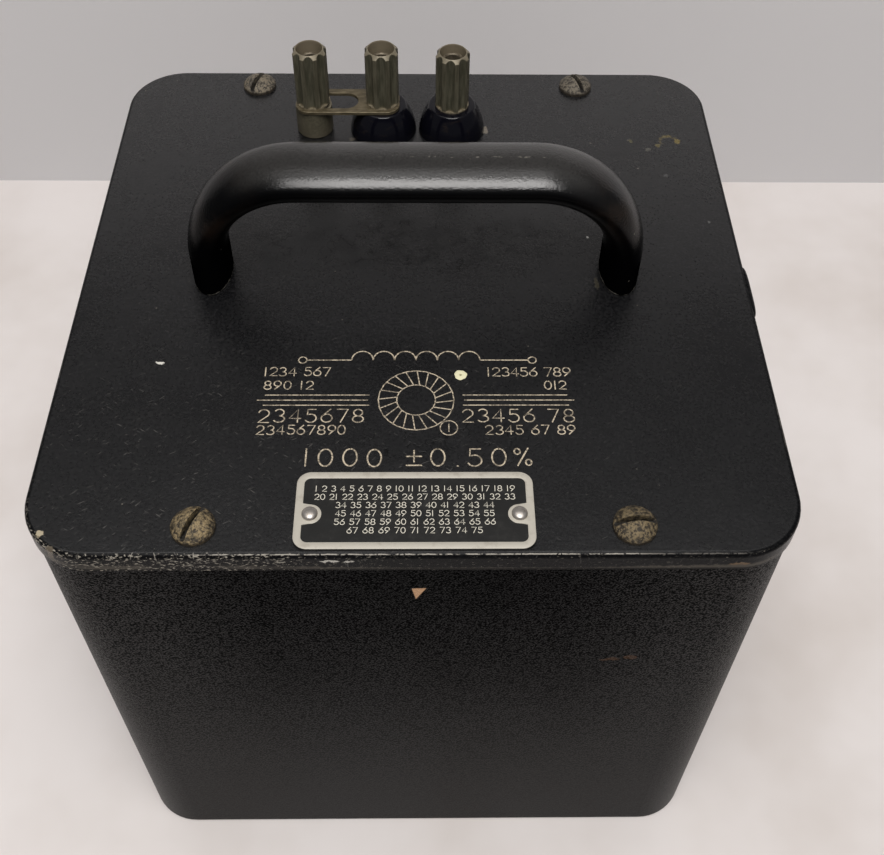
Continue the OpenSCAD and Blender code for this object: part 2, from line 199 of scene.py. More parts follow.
def make_piece(name: str, patch: Patch, material: Material, body: Body) -> bpy.types.Object:
    """Makes a smooth object of a patch, closes its seams and lets it ride on a body.

    Args:
        name: Name of the piece.
        patch: Points, quads and values of the piece.
        material: Finish of the piece.
        body: Body that the piece moves with.

    Returns:
        The new object, at the origin, with its place in its mesh.
    """
    mesh = bpy.data.meshes.new(name)
    mesh.vertices.add(len(patch.points))
    mesh.vertices.foreach_set("co", (patch.points * MM).astype(np.float32).ravel())
    count = len(patch.quads)
    mesh.loops.add(4 * count)
    mesh.loops.foreach_set("vertex_index", patch.quads.astype(np.int32).ravel())
    mesh.polygons.add(count)
    mesh.polygons.foreach_set("loop_start", np.arange(0, 4 * count, 4, dtype=np.int32))
    mesh.update(calc_edges=True)
    for key, numbers in patch.values.items():
        layer = mesh.attributes.new(key, "FLOAT", "POINT")
        layer.data.foreach_set("value", numbers.astype(np.float32).ravel())
    close_seams(mesh)
    return add_object(name, mesh, material, body)


def stands_for(node: str) -> None:
    """Lets a piece stand for a solid by hiding the solid."""
    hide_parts(node)


def eased_corners(points: Sequence[Point], radius: float, steps: int = 5) -> Array:
    """Rounds the corners of a flat closed outline.

    Each corner P between unit directions a (back) and b (on) becomes the curve
    P + t (a (1-s)^2 + b s^2) with t the cut-back length and s from 0 to 1.

    Args:
        points: Corners of the outline.
        radius: Cut-back length at each corner, at most 0.45 of its shorter side.
        steps: Points on each corner.

    Returns:
        Points of the outline with round corners.
    """
    corner = np.asarray(points, dtype=float)
    back = np.roll(corner, 1, axis=0) - corner
    onward = np.roll(corner, -1, axis=0) - corner
    back_size = np.linalg.norm(back, axis=1, keepdims=True)
    onward_size = np.linalg.norm(onward, axis=1, keepdims=True)
    cut = np.minimum(radius, 0.45 * np.minimum(back_size, onward_size))
    share = np.linspace(0.0, 1.0, steps)[None, :, None]
    curve = (back / back_size * cut)[:, None] * (1 - share) ** 2
    curve = corner[:, None] + curve + (onward / onward_size * cut)[:, None] * share**2
    return curve.reshape(-1, 2)


def turned(
    profile: Array, x: float, y: float, segments: int, closed: bool = False, radius: Radius | None = None
) -> Patch:
    """Carries a profile of radius and height round an upright axis.

    A point is (x + R cos a, y + R sin a, z), with R the profile's radius, or
    radius(r, z, a) where the round is not plain.

    Args:
        profile: Radii and heights along the profile.
        x: Place of the axis.
        y: Place of the axis.
        segments: Steps round the axis.
        closed: Joins the end of the profile to its start.
        radius: Radius as a function of profile radius, height and angle.

    Returns:
        The turned surface.
    """
    angle = np.linspace(0.0, 2 * np.pi, segments, endpoint=False)[None, :]
    plain = profile[:, :1]
    height = profile[:, 1:]
    reach = radius(plain, height, angle) if radius else plain + 0 * angle
    level = height + 0 * angle
    points = np.stack([x + reach * np.cos(angle), y + reach * np.sin(angle), level], axis=-1)
    quads = grid_quads(len(profile), segments, wrap_rows=closed, wrap_cols=True)
    return Patch(points.reshape(-1, 3), quads)


@dataclass(frozen=True)
class Thread:
    """Right-hand thread, cut where a profile runs at its full radius."""

    full: float
    depth: float
    pitch: float
    flat: float = 0.15

    def cut(self, radius: Array, height: Array, angle: Array) -> Array:
        """Depth of the cut.

        The wave follows height / pitch - angle / turn, with flats on crest and root.

        Args:
            radius: Radii of the profile.
            height: Heights of the points.
            angle: Angles of the points.

        Returns:
            What the thread takes from the radius at each point.
        """
        phase = height / self.pitch - angle / (2 * np.pi)
        wave = np.abs(2 * (phase - np.floor(phase)) - 1)
        share = np.clip((wave - self.flat) / (1 - 2 * self.flat), 0.0, 1.0)
        return np.where(np.abs(radius - self.full) < SAME, self.depth, 0.0) * share

    def radius(self, radius: Array, height: Array, angle: Array) -> Array:
        """Radius of a turned piece with the thread cut into it."""
        return radius - self.cut(radius, height, angle)


def ripple(x: Array, y: Array, seed: int, size: float, count: int = 14) -> Array:
    """Uneven relief between about -1 and 1: a sum of sine waves in seeded directions.

    Args:
        x: First place of the points.
        y: Second place of the points.
        seed: Seed of the draw.
        size: Usual length of a wave.
        count: Number of waves.

    Returns:
        Relief at each point.
    """
    draw = np.random.default_rng(seed)
    way = draw.uniform(0, 2 * np.pi, count)
    rate = 2 * np.pi / (size * draw.uniform(0.6, 1.8, count))
    start = draw.uniform(0, 2 * np.pi, count)
    along = x[..., None] * np.cos(way) + y[..., None] * np.sin(way)
    return np.sin(along * rate + start).sum(axis=-1) / np.sqrt(count)


# Node sheets


class Field:
    """Number that varies over a surface: a node's result, with sums that add nodes."""

    def __init__(self, nodes: "Nodes", socket: Socket) -> None:
        """Keeps the nodes that it belongs to, and the result."""
        self.nodes = nodes
        self.socket = socket

    def __add__(self, other: "Number") -> "Field":
        """Adds a number."""
        return self.nodes.math("ADD", self, other)

    def __sub__(self, other: "Number") -> "Field":
        """Takes a number away."""
        return self.nodes.math("SUBTRACT", self, other)

    def __rsub__(self, other: float) -> "Field":
        """Takes this one from a number."""
        return self.nodes.math("SUBTRACT", other, self)

    def __mul__(self, other: "Number") -> "Field":
        """Multiplies by a number."""
        return self.nodes.math("MULTIPLY", self, other)

    def __truediv__(self, other: "Number") -> "Field":
        """Divides by a number."""
        return self.nodes.math("DIVIDE", self, other)

    def __or__(self, other: "Number") -> "Field":
        """Gives the larger of two numbers."""
        return self.nodes.math("MAXIMUM", self, other)

    def __abs__(self) -> "Field":
        """Drops the sign."""
        return self.nodes.math("ABSOLUTE", self)

    def hypot(self, other: "Field") -> "Field":
        """Gives the root of the sum of two squares."""
        return self.nodes.math("SQRT", self * self + other * other)

    def between(self, low: float, high: float) -> "Field":
        """Maps a value from 0 to 1 onto a range."""
        return self * (high - low) + low

    def step(self, low: float, high: float) -> "Field":
        """Rises smoothly from 0 to 1, or falls where low is above high.

        Args:
            low: Value at which the result is 0.
            high: Value at which the result is 1.

        Returns:
            The result.
        """
        start, end, first, last = (low, high, 0.0, 1.0) if low < high else (high, low, 1.0, 0.0)
        inputs = {"Value": self, "From Min": start, "From Max": end, "To Min": first, "To Max": last}
        made = self.nodes.node("ShaderNodeMapRange", inputs, interpolation_type="SMOOTHSTEP")
        return Field(self.nodes, made.outputs[0])


Number = float | Field
Value = float | tuple | Socket | Field
Axes = tuple[Field, Field, Field]


class Nodes:
    """Node tree, empty at first: each call adds a node and gives back its result."""

    def __init__(self, tree: bpy.types.NodeTree) -> None:
        """Empties the tree."""
        self.tree = tree
        tree.nodes.clear()

    def node(self, kind: str, inputs: dict | None = None, **settings: object) -> bpy.types.Node:
        """Adds a node.

        Args:
            kind: Blender's name of the node.
            inputs: Numbers, colours or results for its sockets.
            settings: Properties of the node.

        Returns:
            The new node.
        """
        made = self.tree.nodes.new(kind)
        for key, setting in settings.items():
            setattr(made, key, setting)
        for key, value in (inputs or {}).items():
            self.feed(made.inputs[key], value)
        return made

    def feed(self, socket: Socket, value: Value) -> None:
        """Links a result to a socket, or sets a number or colour on it.

        Args:
            socket: Input of a node.
            value: Result, number or colour.
        """
        result = value.socket if isinstance(value, Field) else value
        if isinstance(result, bpy.types.NodeSocket):
            self.tree.links.new(result, socket)
        else:
            socket.default_value = result

    def math(self, operation: str, first: Number, second: Number = 0.0, clamp: bool = False) -> Field:
        """Adds a sum of two numbers.

        Args:
            operation: Blender's name of the sum.
            first: First number or result.
            second: Second number or result.
            clamp: Keeps the result between 0 and 1.

        Returns:
            The result.
        """
        made = self.node("ShaderNodeMath", {0: first, 1: second}, operation=operation, use_clamp=clamp)
        return Field(self, made.outputs[0])

    def mix(self, share: Number, first: Value, second: Value) -> Socket:
        """Blends two colours by a share."""
        made = self.node("ShaderNodeMix", {0: share, 6: first, 7: second}, data_type="RGBA")
        return made.outputs[2]


class Sheet(Nodes):
    """Node sheet of one finish, with one surface shader."""

    SOCKETS = {
        "colour": "Base Color",
        "metal": "Metallic",
        "rough": "Roughness",
        "gloss": "Specular IOR Level",
        "normal": "Normal",
    }

    def __init__(self, name: str) -> None:
        """Starts a material with its shader on its output.

        Args:
            name: Name of the material.
        """
        self.material = bpy.data.materials.new(name)
        self.material.use_nodes = True
        super().__init__(self.material.node_tree)
        self.shader = self.node("ShaderNodeBsdfPrincipled")
        self.output = self.node("ShaderNodeOutputMaterial", {"Surface": self.shader.outputs[0]})

    def dress(self, **sockets: Value) -> Material:
        """Feeds the shader.

        Args:
            sockets: Numbers, colours or results, by the names in SOCKETS.

        Returns:
            The material.
        """
        for key, value in sockets.items():
            self.feed(self.shader.inputs[self.SOCKETS[key]], value)
        return self.material

    def place(self) -> Socket:
        """Gives the place on the object, in metres."""
        return self.node("ShaderNodeTexCoord").outputs["Object"]

    def attribute(self, name: str) -> Field:
        """Gives a named value of the piece's own points."""
        return Field(self, self.node("ShaderNodeAttribute", attribute_name=name).outputs["Fac"])

    def axes(self, vector: Socket) -> Axes:
        """Splits a place into its parts.

        Args:
            vector: Place in metres.

        Returns:
            X, Y and Z in millimetres.
        """
        scaled = self.vector("SCALE", vector, scale=1 / MM)
        split = self.node("ShaderNodeSeparateXYZ", {"Vector": scaled})
        return tuple(Field(self, socket) for socket in split.outputs)

    def vector(
        self, operation: str, first: Value, second: Value | None = None, scale: float = 1.0
    ) -> Socket:
        """Adds a sum of vectors.

        Args:
            operation: Blender's name of the sum.
            first: First vector.
            second: Second vector, where the sum has one.
            scale: Factor of the SCALE sum.

        Returns:
            The vector, or the number of the LENGTH sum.
        """
        made = self.node("ShaderNodeVectorMath", {0: first}, operation=operation)
        if second is not None:
            self.feed(made.inputs[1], second)
        if operation == "SCALE":
            made.inputs["Scale"].default_value = scale
        return made.outputs["Value" if operation == "LENGTH" else "Vector"]

    def stretched(self, vector: Socket, factors: Place, turn: float = 0.0) -> Socket:
        """Turns a place about Z, then stretches it.

        Args:
            vector: Place in metres.
            factors: Stretch along each axis.
            turn: Turn in degrees.

        Returns:
            The new place.
        """
        inputs = {"Vector": vector, "Angle": float(np.radians(turn))}
        spun = self.node("ShaderNodeVectorRotate", inputs, rotation_type="Z_AXIS").outputs[0]
        return self.vector("MULTIPLY", spun, factors)

    def noise(
        self, vector: Socket, size: float, detail: float = 2.0, rough: float = 0.5, warp: float = 0.0
    ) -> Field:
        """Adds soft noise from 0 to 1.

        Args:
            vector: Place that the noise reads.
            size: Usual size of a blotch.
            detail: Finer layers in the noise.
            rough: Strength of the finer layers.
            warp: Bending of the noise by itself.

        Returns:
            The noise.
        """
        inputs = {"Vector": vector, "Scale": 1 / (size * MM), "Detail": detail}
        inputs |= {"Roughness": rough, "Distortion": warp}
        return Field(self, self.node("ShaderNodeTexNoise", inputs).outputs["Fac"])

    def warped(self, vector: Socket, size: float, reach: float) -> Socket:
        """Shifts a place by soft noise.

        Args:
            vector: Place in metres.
            size: Usual size of a blotch.
            reach: Length, about half of which is the largest shift.

        Returns:
            The shifted place.
        """
        inputs = {"Vector": vector, "Scale": 1 / (size * MM), "Detail": 2.0}
        cloud = self.node("ShaderNodeTexNoise", inputs).outputs["Color"]
        centred = self.vector("SUBTRACT", cloud, (0.5, 0.5, 0.5))
        return self.vector("ADD", vector, self.vector("SCALE", centred, scale=reach * MM))

    def cells(self, vector: Socket, size: float, measure: Cell) -> Field:
        """Adds a cell pattern.

        Args:
            vector: Place that the pattern reads.
            size: Usual size of a cell.
            measure: What is measured.

        Returns:
            The distance, in cell sizes.
        """
        inputs = {"Vector": vector, "Scale": 1 / (size * MM)}
        made = self.node("ShaderNodeTexVoronoi", inputs, feature=measure.value)
        return Field(self, made.outputs["Distance"])

    def spot(self, vector: Socket, centre: Place, reach: Place) -> Field:
        """Marks an oval: 1 inside and 0 outside.

        Args:
            vector: Place, warped where the edge is ragged.
            centre: Middle of the oval.
            reach: Half sizes, 0 on an axis that does not count.

        Returns:
            The mark.
        """
        offset = self.vector("SUBTRACT", vector, tuple(part * MM for part in centre))
        factors = tuple(1 / (part * MM) if part else 0.0 for part in reach)
        scaled = self.vector("MULTIPLY", offset, factors)
        return Field(self, self.vector("LENGTH", scaled)).step(1.0, 0.7)

    def bump(self, height: Field, depth: float, base: Socket | None = None) -> Socket:
        """Tilts the surface by a height from 0 to 1.

        Args:
            height: Height of the relief.
            depth: Full depth of the relief.
            base: Relief that this one lies on.

        Returns:
            The tilted normal.
        """
        inputs = {"Height": height, "Distance": depth * MM, "Strength": 1.0}
        if base is not None:
            inputs["Normal"] = base
        return self.node("ShaderNodeBump", inputs).outputs[0]


# Finishes


@dataclass(frozen=True)
class Spot:
    """Oval mark: its middle and half sizes, 0 on an axis that does not count, and its colour."""

    centre: Place
    reach: Place
    colour: Colour


@dataclass(frozen=True)
class CrackleEnamel:
    """Fine black crackle enamel of the case, with painted glints and shade on its beads, and a chip and
    smudges on the front.
    """

    # The pit and crest colours are painted shade in the bead pits and a painted glint on the crests.
    pit: Colour = tone(0.0006, 0.0006, 0.0007)
    crest: Colour = tone(0.0066, 0.0068, 0.0076)
    rubbed: Colour = tone(0.04, 0.036, 0.032)
    chip: Colour = tone(0.55, 0.34, 0.2)
    chip_sides: tuple[Place, ...] = (
        (-0.06, 1.0, 141.75),
        (-0.983, -0.186, -25.67),
        (0.902, -0.432, -59.13),
    )
    chip_edge: float = 0.15
    smudges: tuple[Spot, ...] = (
        Spot((45.6, 0.0, 108.1), (2.6, 0.0, 1.1), tone(0.05, 0.027, 0.015)),
        Spot((50.9, 0.0, 109.0), (2.2, 0.0, 1.3), tone(0.05, 0.027, 0.015)),
    )
    grain: float = 0.46
    depth: float = 0.11

    def build(self) -> Material:
        """Builds beads of enamel, with a painted glint on their crests and painted shade in their pits,
        softer towards the foot and glossier at the sides.

        Returns:
            The material.
        """
        sheet = Sheet("case_crackle")
        place = sheet.place()
        x, y, z = sheet.axes(place)
        bead = sheet.cells(sheet.warped(place, 0.9, 0.6), self.grain, Cell.SEED)
        dust = sheet.noise(place, 0.5, detail=3.0, rough=0.6)
        height = sheet.math("SUBTRACT", dust + 0.35, bead, clamp=True)
        cloud = sheet.noise(place, 24.0, detail=3.0)
        sharp = z.step(5.0, 135.0).between(0.2, 1.0)
        crest_glint_share = height.step(0.15, 0.75) * cloud.between(0.6, 1.3)
        crest_glint_share = (crest_glint_share - 0.4) * sharp + 0.4
        # The relief height sets the colour: lighter on the crests as a painted glint, near black in the
        # pits as painted shade.
        colour = sheet.mix(crest_glint_share, self.pit, self.crest)
        foot = z.step(2.6, 0.4) * sheet.noise(place, 2.5, detail=3.0).step(0.5, 0.62)
        colour = sheet.mix(foot, colour, self.rubbed)
        colour = sheet.mix(self.chip_mark((x, y, z)) * 0.95, colour, self.chip)
        ragged = sheet.warped(place, 2.2, 3.2)
        for smudge in self.smudges:
            mark = sheet.spot(ragged, smudge.centre, smudge.reach) * y.step(-78.0, -80.0)
            colour = sheet.mix(mark * 0.9, colour, smudge.colour)
        sides = abs(x).step(30.0, 78.0) * z.step(20.0, 140.0).between(0.0, 0.48)
        shine = z.step(150.0, 20.0).between(0.15, 0.48) + sides
        gloss = crest_glint_share.between(0.02, 0.28) * shine
        relief = sheet.bump(height * sharp, self.depth)
        return sheet.dress(colour=colour, rough=dust.between(0.3, 0.46), gloss=gloss, normal=relief)

    def chip_mark(self, axes: Axes) -> Field:
        """Marks the three-cornered chip on the front: inside three straight sides.

        Args:
            axes: Place on the case.

        Returns:
            The mark.
        """
        x, y, z = axes
        mark = y.step(-79.0, -81.0)
        for across, up, limit in self.chip_sides:
            reach = x * across + z * up
            mark = mark * reach.step(limit + self.chip_edge, limit - self.chip_edge)
        return mark


@dataclass(frozen=True)
class LidEnamel:
    """Satin black enamel of the lid: dust, crazing, scratches, chips and worn edges, with a painted lighter
    back, a painted highlight along the top edge and painted shade along the lower edge.
    """

    black: Colour = tone(0.003, 0.0031, 0.0036)
    dusty: Colour = tone(0.027, 0.0268, 0.028)
    craze: Colour = tone(0.09, 0.086, 0.08)
    # The crack colour also paints the shade of the gap at the lid's lower edge.
    crack: Colour = tone(0.0005, 0.0005, 0.0006)
    # The bare colour also paints the highlight line along the top edge.
    bare: Colour = tone(0.3, 0.28, 0.245)
    rubbed: Colour = tone(0.064, 0.057, 0.047)
    pale: Colour = tone(0.3, 0.275, 0.23)
    half_width: float = 82.55
    corner: float = 15.0
    left_rub: float = 1.2
    right_rub: float = 1.0
    crazed: tuple[tuple[Place, Place], ...] = (
        ((-1.0, 9.0, 0.0), (48.0, 10.0, 0.0)),
        ((8.0, -54.0, 0.0), (26.0, 6.0, 0.0)),
    )
    flecked: tuple[Place, Place] = ((58.0, 46.0, 0.0), (18.0, 10.0, 0.0))
    spots: tuple[Spot, ...] = (
        Spot((-59.5, -30.6, 0.0), (1.1, 0.5, 0.0), tone(0.7, 0.68, 0.62)),
        Spot((-77.6, -76.8, 0.0), (0.75, 1.0, 0.0), tone(0.42, 0.36, 0.25)),
        Spot((-75.0, -80.4, 0.0), (1.3, 0.7, 0.0), tone(0.12, 0.1, 0.075)),
        Spot((67.0, 49.0, 0.0), (0.9, 1.0, 0.0), tone(0.085, 0.07, 0.026)),
        Spot((72.6, 50.8, 0.0), (1.0, 1.1, 0.0), tone(0.13, 0.095, 0.02)),
        Spot((59.5, 51.0, 0.0), (0.6, 0.9, 0.0), tone(0.055, 0.05, 0.024)),
        Spot((64.0, 47.3, 0.0), (0.9, 0.9, 0.0), tone(0.055, 0.054, 0.045)),
        Spot((44.1, 11.8, 0.0), (0.45, 0.5, 0.0), tone(0.6, 0.6, 0.57)),
        Spot((76.3, 17.8, 0.0), (0.4, 0.45, 0.0), tone(0.09, 0.09, 0.088)),
        Spot((67.4, 36.2, 0.0), (0.7, 0.6, 0.0), tone(0.06, 0.06, 0.06)),
        Spot((44.8, -4.6, 0.0), (0.6, 2.4, 0.0), tone(0.034, 0.03, 0.02)),
        Spot((-6.3, 50.6, 0.0), (1.1, 1.5, 0.0), tone(0.1, 0.086, 0.06)),
        Spot((19.0, 55.6, 0.0), (0.8, 2.0, 0.0), tone(0.15, 0.13, 0.1)),
        Spot((-18.3, 51.2, 0.0), (0.9, 0.8, 0.0), tone(0.05, 0.043, 0.032)),
        Spot((-17.6, -82.4, 154.1), (2.4, 0.9, 0.42), tone(0.6, 0.58, 0.53)),
        Spot((-13.4, -82.4, 153.9), (1.3, 0.9, 0.36), tone(0.55, 0.53, 0.48)),
        Spot((-27.6, -82.4, 153.8), (1.2, 0.9, 0.34), tone(0.3, 0.28, 0.24)),
        Spot((67.6, -82.2, 152.4), (2.8, 2.4, 0.8), tone(0.15, 0.1, 0.06)),
    )
    stain: Spot = Spot((70.1, 50.9, 0.0), (3.1, 3.1, 0.0), tone(0.1, 0.078, 0.026))
    stain_hole: tuple[Place, Place] = ((70.1, 50.7, 0.0), (2.232, 2.232, 0.0))

    def build(self) -> Material:
        """Builds a film of dust, fuller towards the back as painted light, fine cracks, then the marks of
        use.

        Returns:
            The material.
        """
        sheet = Sheet("lid_enamel")
        place = sheet.place()
        _, y, _ = sheet.axes(place)
        cloud = sheet.noise(place, 30.0, detail=4.0, rough=0.6)
        dust = sheet.noise(place, 0.7, detail=3.0, rough=0.65)
        # Real dust, plus a gradient towards the back that paints a lighter back where the lid catches the
        # wall's light.
        dust_and_painted_back_light = cloud * dust.step(0.4, 0.78) * y.step(-75.0, 30.0).between(0.42, 1.0)
        colour = sheet.mix(dust_and_painted_back_light, self.black, self.dusty)
        border = sheet.cells(sheet.warped(place, 2.6, 3.0), 2.8, Cell.BORDER)
        lines = border.step(0.07, 0.02) * sheet.noise(place, 4.0).step(0.42, 0.6)
        spread = sheet.warped(place, 14.0, 16.0)
        first, second = (sheet.spot(spread, *patch) for patch in self.crazed)
        crazed = first | second
        cracks = lines * crazed
        colour = sheet.mix(cracks * 0.7, colour, self.crack)
        colour = self.scratched(sheet, place, colour)
        colour = self.spotted(sheet, place, colour)
        colour, bare, dull = self.worn(sheet, place, colour)
        rough = cloud.between(0.19, 0.29) + dust * 0.08 + bare * 0.25
        stain = crazed * sheet.noise(place, 6.0, detail=4.0).step(0.4, 0.62)
        gloss = cracks.between(0.74, 0.48) * stain.between(1.0, 0.8) * dull.between(1.0, 0.08)
        peel = sheet.bump(sheet.noise(place, 3.6), 0.05)
        relief = sheet.bump(dust.between(0.0, 0.8) - cracks * 0.5, 0.048, peel)
        return sheet.dress(colour=colour, rough=rough, metal=bare * 0.3, gloss=gloss, normal=relief)

    def scratched(self, sheet: Sheet, place: Socket, colour: Socket) -> Socket:
        """Adds short pale dashes in three directions, most at the front left, and specks.

        Args:
            sheet: Sheet of the material.
            place: Place on the lid.
            colour: Colour so far.

        Returns:
            The colour with dashes and specks.
        """
        x, y, _ = sheet.axes(place)
        near = y.step(-5.0, -62.0) * x.step(95.0, -45.0)
        for turn, shift in ((-24.0, 0.0), (-44.0, 0.03), (35.0, 0.07)):
            moved = sheet.vector("ADD", place, (shift, shift, 0.0))
            drawn = sheet.stretched(moved, (1.0, 7.0, 1.0), turn)
            dash = sheet.noise(drawn, 2.6, detail=1.0).step(0.69, 0.745)
            dash = dash * sheet.noise(moved, 8.0, detail=1.0).step(0.42, 0.58)
            colour = sheet.mix(dash * near.between(0.06, 0.7), colour, self.craze)
        for size, reach, share in ((5.0, 0.05, 0.35), (2.6, 0.06, 0.2)):
            chosen = sheet.noise(place, 2.2 * size, detail=1.0).step(0.54, 0.62)
            speck = sheet.cells(place, size, Cell.SEED).step(reach, 0.5 * reach) * chosen
            colour = sheet.mix(speck * share, colour, self.pale)
        patch = sheet.spot(sheet.warped(place, 8.0, 6.0), *self.flecked)
        fleck = sheet.cells(place, 2.0, Cell.SEED).step(0.2, 0.1) * patch
        fleck = fleck * sheet.noise(place, 3.4, detail=1.0).step(0.5, 0.58)
        return sheet.mix(fleck * 0.22, colour, self.pale)

    def spotted(self, sheet: Sheet, place: Socket, colour: Socket) -> Socket:
        """Adds the chips and scuffs, and a broken ring of stain at the back right.

        Args:
            sheet: Sheet of the material.
            place: Place on the lid.
            colour: Colour so far.

        Returns:
            The colour with marks.
        """
        ragged = sheet.warped(place, 0.9, 1.5)
        for spot in self.spots:
            colour = sheet.mix(sheet.spot(ragged, spot.centre, spot.reach) * 0.85, colour, spot.colour)
        outer = sheet.spot(ragged, self.stain.centre, self.stain.reach)
        hole = sheet.spot(ragged, *self.stain_hole)
        ring = outer * (1.0 - hole) * sheet.noise(place, 1.6, detail=3.0).step(0.34, 0.5)
        middle = self.stain.centre[1]
        ring = ring * sheet.axes(place)[1].step(middle - 1.6, middle - 0.4)
        return sheet.mix(ring * 0.8, colour, self.stain.colour)

    def worn(self, sheet: Sheet, place: Socket, colour: Socket) -> tuple[Socket, Field, Field]:
        """Wears a thin pale line along the top edge, partly bare metal and partly a painted highlight,
        darkens the lowest band as painted shade, flecks the side and rubs the lower edge.

        The distance inside the outline is that of a square with round corners.

        Args:
            sheet: Sheet of the material.
            place: Place on the lid.
            colour: Colour so far.

        Returns:
            The worn colour, the share of bare metal with the painted highlight line, and the share of dull
            edge.
        """
        x, y, z = sheet.axes(place)
        straight = self.half_width - self.corner
        over_x = abs(x) - straight | 0.0
        over_y = abs(y) - straight | 0.0
        edge = over_x.hypot(over_y) - self.corner
        chips = sheet.noise(place, 1.5, detail=4.0, rough=0.65)
        runs = sheet.noise(place, 15.0)
        front = y.step(-60.0, -78.0)
        left = x.step(5.0, -50.0)
        right = x.step(30.0, 70.0)
        band = z - (left * self.left_rub + right * self.right_rub) + chips.between(-0.9, 0.9)
        low = band.step(LID_UNDER + 1.2, LID_UNDER + 0.5) * edge.step(-0.7, -0.2)
        rub = low * front.between(0.3, 0.9) * runs.step(0.36, 0.6)
        colour = sheet.mix(rub, colour, self.rubbed)
        # The lowest band of the lid's side is darkened as painted shade of the gap above the case.
        painted_seam_shade = z.step(LID_UNDER + 0.85, LID_UNDER + 0.5)
        colour = sheet.mix(painted_seam_shade * 0.92, colour, self.crack)
        flat = sheet.noise(sheet.stretched(place, (1.0, 1.0, 2.2)), 0.9, detail=4.0, rough=0.65)
        fleck = (flat + left * front * 0.06).step(0.62, 0.67) * edge.step(-0.9, -0.5)
        fleck = fleck * left.between(0.3, 1.0) * front.between(0.12, 0.9)
        colour = sheet.mix(fleck, colour, self.pale)
        # The pale line on the top edge is partly worn bare metal and partly a painted highlight on the
        # rounded edge, whose gloss is dulled.
        wobble = edge + chips.between(-0.15, 0.15)
        line = wobble.step(-0.7, -0.6) * wobble.step(-0.4, -0.5)
        line = line * z.step(LID_TOP - 0.85, LID_TOP - 0.65)
        ladder = sheet.cells(sheet.stretched(place, (1.0, 1.0, 0.0)), 4.6, Cell.BORDER)
        run = x.step(-50.0, -38.0) * x.step(52.0, 41.0).between(0.3, 1.0)
        run = run * x.step(74.0, 60.0) * front
        share = run | runs.step(0.58, 0.7) * 0.4
        line = line * ladder.step(0.012, 0.04) * share * chips.step(0.35, 0.5)
        ticks = ladder.step(0.03, 0.012) * front * x.step(-36.0, -44.0)
        ticks = ticks * edge.step(-1.2, -0.9) * chips.step(0.46, 0.54)
        ticks = ticks * z.step(LID_TOP - 1.3, LID_TOP - 0.9)
        mottle = flat.step(0.56, 0.68) * left * front * wobble.step(-1.0, -0.7)
        mottle = mottle * z.step(LID_TOP - 3.2, LID_TOP - 1.4)
        bare = (line | (ticks | mottle) * 0.6) * 0.85
        return sheet.mix(bare, colour, self.bare), bare, edge.step(-1.25, -0.8)


@dataclass(frozen=True)
class HandleEnamel:
    """Smooth black enamel of the handle: dusty on top, rubbed on the bends, chipped at the feet."""

    black: Colour = tone(0.0011, 0.0011, 0.0013)
    dust: Colour = tone(0.0285, 0.0275, 0.0265)
    worn: Colour = tone(0.014, 0.0095, 0.007)
    pale: Colour = tone(0.3, 0.28, 0.24)
    bend_x: float = HANDLE_SPAN / 2 - HANDLE_BEND
    bend_z: float = LID_TOP + HANDLE_LEG

    def build(self) -> Material:
        """Lays dust and gloss by the distance from the centre of the bends.

        Returns:
            The material.
        """
        sheet = Sheet("handle_enamel")
        place = sheet.place()
        x, y, z = sheet.axes(place)
        cloud = sheet.noise(place, 11.0, detail=4.0, rough=0.6)
        grain = sheet.noise(place, 0.6, detail=3.0, rough=0.6)
        bend = abs(x).step(34.0, 50.0)
        tan = bend * cloud.step(0.42, 0.68) * z.step(170.0, 182.0)
        colour = sheet.mix(tan * 0.8, self.black, self.worn)
        over_x = abs(x) - self.bend_x | 0.0
        over_z = z - self.bend_z | 0.01
        ring = over_x.hypot(over_z)
        upper = ring.step(HANDLE_BEND + 2.2, HANDLE_BEND + 4.6) * (over_z / ring).step(0.76, 1.0)
        upper = upper * bend.between(1.0, 0.35)
        colour = sheet.mix(upper * grain.between(0.3, 1.5), colour, self.dust)
        gloss = ring.step(HANDLE_BEND + 0.7, HANDLE_BEND + 2.4).between(0.04, 0.53)
        gloss = gloss * bend.between(1.0, 0.65) * z.step(164.0, 183.0)
        gloss = gloss * x.step(-38.0, -14.0).between(0.25, 1.0)
        wobble = y + sheet.noise(place, 6.0).between(-2.2, 2.2)
        track = abs(wobble + 0.3).step(0.3, 0.08)
        run = x.step(-18.0, 6.0) * x.step(37.0, 33.0) * z.step(188.5, 190.0)
        dashes = sheet.noise(place, 1.1, detail=3.0).step(0.53, 0.64)
        colour = sheet.mix(track * run * dashes * 0.3, colour, self.pale)
        speck = sheet.cells(place, 4.2, Cell.SEED).step(0.05, 0.03)
        colour = sheet.mix(speck * cloud.step(0.5, 0.56) * 0.5, colour, self.pale)
        level = z + sheet.noise(place, 2.4, detail=3.0).between(-0.7, 0.7)
        colour = sheet.mix(level.step(LID_TOP + 0.55, LID_TOP + 0.25) * 0.55, colour, self.pale)
        rough = cloud.between(0.11, 0.17) + grain * 0.06
        return sheet.dress(colour=colour, rough=rough, gloss=gloss, normal=sheet.bump(grain, 0.075))


